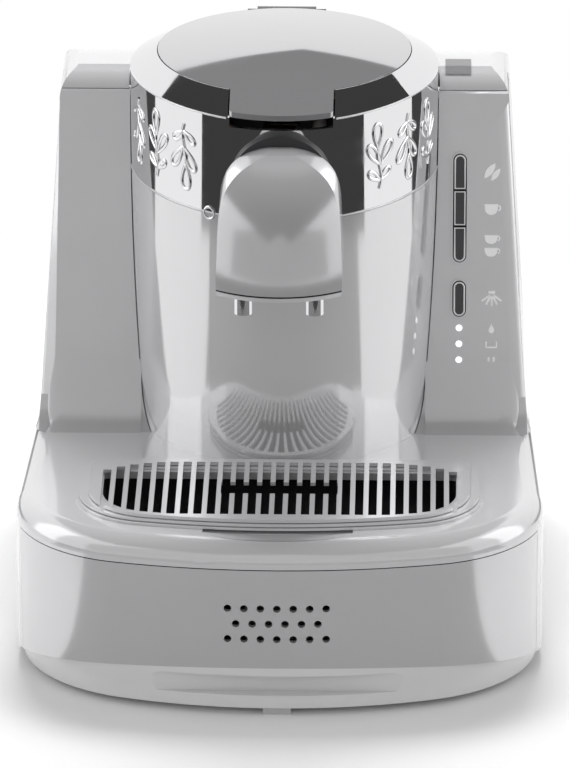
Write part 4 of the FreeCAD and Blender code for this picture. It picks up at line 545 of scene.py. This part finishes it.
def makeBandSprigs():
    # a coffee sprig, upright and turned over by turns, round both sides of the band
    look = bandSprig
    rise = (look["stemHigh"] - look["stemLow"]) / look["stemSteps"]
    stem = [(look["stemSway"] * math.sin(n * look["stemWaves"]), look["stemLow"] + rise * n)
            for n in range(look["stemSteps"] + 1)]
    lines = [(stem, False), (loopPoints(*look["tipLeaf"], 0.0, (stem[-1][0], look["stemHigh"])), True)]
    lines += [(loopPoints(*leaf), True) for leaf in look["leaves"]]
    master = wireShape("sprigMaster", lines, look["lineRadius"], flat=look["flat"])
    for vertex in master.data.vertices:
        vertex.co.z -= look["sink"]
    parts = []
    for side in (-1, 1):
        for index, run in enumerate(look["runs"]):
            sprig = copyPiece(master)
            upright = (index % 2 == 0) == (side > 0)
            bendRound(sprig, side * run, look["height"], 1 if upright else -1)
            parts.append(sprig)
    bpy.data.objects.remove(master)
    finishPiece(joinPieces(parts), "band_sprigs", "machine", "chromeBright")


makeBandSprigs()

bandTrim = {"reach": 0.098, "radius": 0.00042, "gap": 0.0225, "steps": 60,
            "heights": {"band_trim_low": 0.1765, "band_trim_high": 0.2175}}


def makeBandTrims():
    # thin bright lines that close the band below and above, the upper one open at the finger notch
    look = bandTrim
    for name, height in look["heights"].items():
        spans = [(-look["reach"], look["reach"])]
        if height > bandSprig["height"]:
            spans = [(-look["reach"], -look["gap"]), (look["gap"], look["reach"])]
        lines = []
        for low, high in spans:
            runs = [low + (high - low) * n / look["steps"] for n in range(look["steps"] + 1)]
            lines.append(([tuple(planPoint(run)[0] + Vector((0, 0, height))) for run in runs], False))
        trim = wireShape(name, lines, look["radius"], resolution=2)
        finishPiece(trim, name, "machine", "casingWhite")


makeBandTrims()

bandBead = {"run": -0.0304, "height": 0.1763, "middle": 0.0024, "wire": 0.00055, "round": 32,
            "across": 10}


def makeBandBead():
    # a small raised ring on the lower edge of the band
    look = bandBead
    bpy.ops.object.select_all(action="DESELECT")
    bpy.ops.mesh.primitive_torus_add(major_radius=look["middle"], minor_radius=look["wire"],
                                     major_segments=look["round"], minor_segments=look["across"])
    bead = bpy.context.active_object
    bendRound(bead, look["run"], look["height"])
    bpy.ops.object.shade_smooth()
    finishPiece(bead, "band_bead", "machine", "chromeBright")


makeBandBead()
print("band ornament made")


# The column: a copy of the shell whose long front corners are rounded

columnCorners = {"outside": 0.080, "near": 0.0006, "steep": 0.006, "round": 0.0055, "segments": 6,
                 "weld": 0.00002, "flat": math.radians(0.5), "smooth": math.radians(32)}


def makeColumnSkin():
    look = columnCorners
    skin = copyPiece(cadNodes["column_shell"])
    selectOnly(skin)
    bpy.ops.object.mode_set(mode="EDIT")
    bpy.ops.mesh.select_mode(type="EDGE")
    bpy.ops.mesh.select_all(action="SELECT")
    bpy.ops.mesh.remove_doubles(threshold=look["weld"])
    bpy.ops.mesh.dissolve_limited(angle_limit=look["flat"])
    bpy.ops.mesh.select_all(action="DESELECT")
    bpy.ops.object.mode_set(mode="OBJECT")
    vertices = skin.data.vertices

    def onCorner(place):
        return abs(place.x) > look["outside"] and abs(place.y - faceAlong(place.z)) < look["near"]

    for edge in skin.data.edges:
        first, second = (vertices[index].co for index in edge.vertices)
        if onCorner(first) and onCorner(second) and abs(first.z - second.z) > look["steep"]:
            edge.select = True
    bpy.ops.object.mode_set(mode="EDIT")
    bpy.ops.mesh.bevel(offset=look["round"], segments=look["segments"], clamp_overlap=False)
    bpy.ops.object.mode_set(mode="OBJECT")
    bpy.ops.object.shade_smooth_by_angle(angle=look["smooth"])
    # the wide faces keep their own normals, so they reflect as flat
    skin.modifiers.new("even", "WEIGHTED_NORMAL").keep_sharp = True
    applyModifiers(skin)
    finishPiece(skin, "column_skin", "machine", "panelSilver")
    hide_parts("column_shell")


makeColumnSkin()
print("column skin made")

columnCove = {"high": 0.099, "low": 0.0712, "sideWide": 0.0005, "frontWide": 0.0065, "sideFoot": 0.0989,
              "footHeight": 0.0717, "draft": math.tan(math.radians(3.7)), "corner": 0.0058, "back": 0.108,
              "fade": 0.030, "inner": 0.0575, "wall": 0.0009, "proud": 0.00008, "levels": 12,
              "sideSteps": 12, "cornerSteps": 8, "faceSteps": 6, "smooth": math.radians(40)}


def covePoint(step, level):
    # step runs from the back along the side, round the corner and along the face to the tower
    look = columnCove
    height = look["high"] + (look["low"] - look["high"]) * level / look["levels"]
    drop = level / look["levels"]
    swell = 1 - math.sqrt(max(0.0, 1 - drop * drop))
    side = look["sideFoot"] - (height - look["footHeight"]) * look["draft"]
    face = faceAlong(height)
    corner = look["corner"]
    if step <= look["sideSteps"]:
        along = look["back"] + (face + corner - look["back"]) * step / look["sideSteps"]
        share = min(1.0, (look["back"] - along) / look["fade"])
        return (side + look["sideWide"] * swell * share + look["proud"], along, height)
    step -= look["sideSteps"]
    if step <= look["cornerSteps"]:
        turn = math.radians(90) * step / look["cornerSteps"]
        wide = look["sideWide"] + (look["frontWide"] - look["sideWide"]) * step / look["cornerSteps"]
        reach = corner + wide * swell + look["proud"]
        return (side - corner + reach * math.cos(turn), face + corner - reach * math.sin(turn), height)
    step -= look["cornerSteps"]
    across = side - corner + (look["inner"] - side + corner) * step / look["faceSteps"]
    return (across, face - look["frontWide"] * swell - look["proud"], height)


def makeColumnCoves():
    # the column's foot flows into the deck in a hollow curve, on both sides
    look = columnCove
    steps = look["sideSteps"] + look["cornerSteps"] + look["faceSteps"]
    for name, sign in (("column_cove_right", 1), ("column_cove_left", -1)):
        bpy.ops.object.select_all(action="DESELECT")
        bpy.ops.mesh.primitive_grid_add(x_subdivisions=steps, y_subdivisions=look["levels"], size=1.0)
        cove = bpy.context.active_object
        for index, vertex in enumerate(cove.data.vertices):
            x, y, z = covePoint(index % (steps + 1), index // (steps + 1))
            vertex.co = (sign * x, y, z)
        turnFacesOut()
        sideFace = cove.data.polygons[look["sideSteps"] // 2]
        thick = cove.modifiers.new("wall", "SOLIDIFY")
        thick.thickness = look["wall"]
        thick.offset = -1 if sideFace.normal.x * sign > 0 else 1
        applyModifiers(cove)
        turnFacesOut()
        bpy.ops.object.shade_smooth_by_angle(angle=look["smooth"])
        finishPiece(cove, name, "machine", "panelSilver")


makeColumnCoves()
print("column foot made")

keyOutlines = {"inset": 0.00045, "wire": 0.00036, "endSteps": 12, "keys": {
    # round above, round below
    "button_slow_brew": (True, False), "button_one_cup": (False, False), "button_two_cups": (False, True),
    "button_clean": (True, True)}}


def makeKeyOutline(key, roundAbove, roundBelow):
    # a fine bright line along the edge of a key's face, which moves with it
    look, lean = keyOutlines, columnFace["lean"]
    low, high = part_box(key)
    c, s = math.cos(lean), math.sin(lean)
    # half the key's length up the face, from a box that also holds its thickness
    reach = ((high[2] - low[2]) * c - (high[1] - low[1]) * s) / (2 * math.cos(2 * lean))
    place = Matrix.Translation(((low[0] + high[0]) / 2, low[1] + reach * s, high[2] - reach * c))
    half = (high[0] - low[0]) / 2 - look["inset"]
    span = reach - look["inset"]
    turns = [math.pi * n / look["endSteps"] for n in range(look["endSteps"] + 1)]
    above = [(half, span), (-half, span)]
    if roundAbove:
        above = [(half * math.cos(a), span - half + half * math.sin(a)) for a in turns]
    below = [(-half, -span), (half, -span)]
    if roundBelow:
        below = [(-half * math.cos(a), half - span - half * math.sin(a)) for a in turns]
    outline = wireShape(key + "_outline", [(above + below, True)], look["wire"], resolution=2)
    settle(outline, place @ faceTurn())
    finishPiece(outline, key + "_outline", key, "baseWhite")


for key, (roundAbove, roundBelow) in keyOutlines["keys"].items():
    makeKeyOutline(key, roundAbove, roundBelow)
print("key outlines made")


# The valve's spring: a copy with its own mesh stands in for the imported one, which is hidden


def makeValveSpring():
    spring = copyPiece(cadNodes["valve_spring"])
    finishPiece(spring, "valve_spring_live", "machine", "drawnSteel")
    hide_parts("valve_spring")
    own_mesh(spring)


makeValveSpring()
print("valve spring made")


# Stage: pale floor, cards that only reflections see, lamps, camera

studio = {
    "floorTone": (0.90, 0.90, 0.90, 1), "floorSize": 14.0, "nearEdge": 0.21, "farEdge": 0.45,
    "worldTone": 0.44,
    "sideLamp": {"x": 0.80, "y": 0.02, "z": 0.40, "aim": 0.15, "wide": 0.42, "high": 0.80, "power": 1.5},
    "topLamp": {"place": (0.0, 0.50, 1.20), "size": 0.5, "power": 12.0},
    "frontLamp": {"place": (-0.25, -1.7, 1.15), "size": 0.9, "power": 4.0},
    "aim": (0, 0, 0.1),
}


def seenMask(tree):
    # 1 for the camera and for what gloss and clear pieces show, 0 for the light on the object
    path = addNode(tree, "ShaderNodeLightPath")
    mask = path.outputs["Is Camera Ray"]
    for ray in ("Is Glossy Ray", "Is Transmission Ray"):
        mask = addNode(tree, "ShaderNodeMath", {0: mask, 1: path.outputs[ray]},
                       operation="MAXIMUM").outputs[0]
    return mask


def buildFloor():
    bpy.ops.object.select_all(action="DESELECT")
    bpy.ops.mesh.primitive_grid_add(x_subdivisions=8, y_subdivisions=8, size=studio["floorSize"])
    floor = bpy.context.active_object
    floor.name = "floor"
    material, tree, shader = startMaterial("floorPaper", Roughness=0.9, Specular_IOR_Level=0.1)
    shader.inputs["Base Color"].default_value = studio["floorTone"]
    place = addNode(tree, "ShaderNodeTexCoord").outputs["Object"]
    distance = addNode(tree, "ShaderNodeVectorMath", {0: place}, operation="LENGTH")
    fade = addNode(tree, "ShaderNodeMapRange", {
        "Value": distance.outputs["Value"], "From Min": studio["nearEdge"], "From Max": studio["farEdge"]},
        interpolation_type="SMOOTHSTEP")
    share = addNode(tree, "ShaderNodeMath", {0: fade.outputs[0], 1: seenMask(tree)}, operation="MULTIPLY")
    white = addNode(tree, "ShaderNodeEmission", {"Color": (1, 1, 1, 1), "Strength": 1.0})
    mix = addNode(tree, "ShaderNodeMixShader", {0: share.outputs[0], 1: shader.outputs[0],
                                                2: white.outputs[0]})
    tree.links.new(mix.outputs[0], tree.nodes["Material Output"].inputs["Surface"])
    floor.data.materials.append(material)


def buildCard(name, points, tone):
    # a card that only glossy rays meet
    bpy.ops.object.select_all(action="DESELECT")
    bpy.ops.mesh.primitive_circle_add(vertices=len(points), radius=1.0, fill_type="NGON")
    card = bpy.context.active_object
    card.name = name
    for vertex, point in zip(card.data.vertices, points):
        vertex.co = point
    material = bpy.data.materials.new(name)
    material.use_nodes = True
    tree = material.node_tree
    tree.nodes.remove(tree.nodes["Principled BSDF"])
    glow = addNode(tree, "ShaderNodeEmission", {"Color": (tone, tone, tone, 1), "Strength": 1.0})
    tree.links.new(glow.outputs[0], tree.nodes["Material Output"].inputs["Surface"])
    card.data.materials.append(material)
    card.visible_camera = False
    card.visible_diffuse = False
    card.visible_shadow = False
    card.visible_transmission = False


def buildLamp(name, place, target, wide, high, power, seenInGloss=False):
    light = bpy.data.lights.new(name, "AREA")
    light.shape = "RECTANGLE"
    light.size, light.size_y, light.energy = wide, high, power
    lamp = bpy.data.objects.new(name, light)
    bpy.context.scene.collection.objects.link(lamp)
    lamp.location = place
    lamp.visible_glossy = seenInGloss
    lamp.rotation_euler = (Vector(target) - Vector(place)).to_track_quat("-Z", "Y").to_euler()


def buildWorld():
    world = bpy.data.worlds.new("studio")
    bpy.context.scene.world = world
    world.use_nodes = True
    tree = world.node_tree
    background = tree.nodes["Background"]
    tone = studio["worldTone"]
    background.inputs["Color"].default_value = (tone, tone, tone, 1)
    white = addNode(tree, "ShaderNodeBackground", {"Color": (1, 1, 1, 1), "Strength": 1.0})
    mix = addNode(tree, "ShaderNodeMixShader", {0: seenMask(tree), 1: background.outputs[0],
                                                2: white.outputs[0]})
    tree.links.new(mix.outputs[0], tree.nodes["World Output"].inputs["Surface"])


buildFloor()
buildWorld()

fanPlace = {"back": 0.01, "height": 0.0015, "steps": 16}


def fanPoints(start, end, near, far):
    # a flat ring sector just over the floor, its angles counted from the front
    look = fanPlace
    turns = [math.radians(start + (end - start) * n / look["steps"]) for n in range(look["steps"] + 1)]

    def rim(radius, angles):
        return [(radius * math.sin(a), look["back"] - radius * math.cos(a), look["height"])
                for a in angles]

    return rim(near, turns) + rim(far, reversed(turns))


floorCards = {
    # from, to, near, far, tone
    "nearCard": (-45, 45, 0.15, 0.30, 0.22), "middleCard": (-70, 70, 0.301, 0.50, 0.26),
    "frontCard": (-74, 74, 0.501, 1.6, 0.05), "leftCard": (-160, -116, 0.40, 1.6, 0.06),
    "rightCard": (116, 160, 0.40, 1.6, 0.06),
}
for name, (start, end, near, far, tone) in floorCards.items():
    buildCard(name, fanPoints(start, end, near, far), tone)

uprightCards = {
    # along, tone, outline across and up
    "backCard": (2.3, 1.0, [(-1.7, 0.05), (1.7, 0.05), (1.7, 2.5), (1.0, 1.62), (0.5, 1.17), (0, 1.02),
                            (-0.5, 1.17), (-1.0, 1.62), (-1.7, 2.5)]),
    "horizonCard": (-1.9, 0.42, [(-2.6, 0.02), (2.6, 0.02), (2.6, 1.9), (-2.6, 1.9)]),
}
for name, (along, tone, outline) in uprightCards.items():
    buildCard(name, [(x, along, z) for x, z in outline], tone)

# overhead, its right half across and along, the left half alike
topCard = {"height": 0.95, "tone": 0.05, "half": [
    (0, 1.89), (0.30, 1.36), (0.50, 0.90), (0.60, 0.59), (0.65, 0.34), (0.68, 0), (0.65, -0.34),
    (0.60, -0.59), (0.50, -0.90), (0.30, -1.36), (0, -1.0)]}
overhead = topCard["half"] + [(-x, y) for x, y in reversed(topCard["half"][1:-1])]
buildCard("topCard", [(x, y, topCard["height"]) for x, y in overhead], topCard["tone"])
side = studio["sideLamp"]
for sign, name in ((-1, "leftLamp"), (1, "rightLamp")):
    buildLamp(name, (sign * side["x"], side["y"], side["z"]), (0, side["y"], side["aim"]), side["wide"],
              side["high"], side["power"], True)
for name in ("topLamp", "frontLamp"):
    lamp = studio[name]
    buildLamp(name, lamp["place"], studio["aim"], lamp["size"], lamp["size"], lamp["power"])

shot = {"lens": 375.0, "pitch": math.radians(21), "turn": math.radians(1.1), "distance": 3.052,
        "height": 1.2507, "pivot": 0.033, "sensor": 36, "farthest": 50}
cameraData = bpy.data.cameras.new("shot")
cameraData.lens = shot["lens"]
cameraData.sensor_width = shot["sensor"]
cameraData.clip_end = shot["farthest"]
camera = bpy.data.objects.new("shot", cameraData)
bpy.context.scene.collection.objects.link(camera)
camera.location = (shot["distance"] * math.sin(shot["turn"]),
                   shot["pivot"] - shot["distance"] * math.cos(shot["turn"]), shot["height"])
camera.rotation_euler = (math.radians(90) - shot["pitch"], 0, shot["turn"])
bpy.context.scene.camera = camera
bpy.context.scene.view_settings.view_transform = "Standard"
print("stage, lamps and camera set")
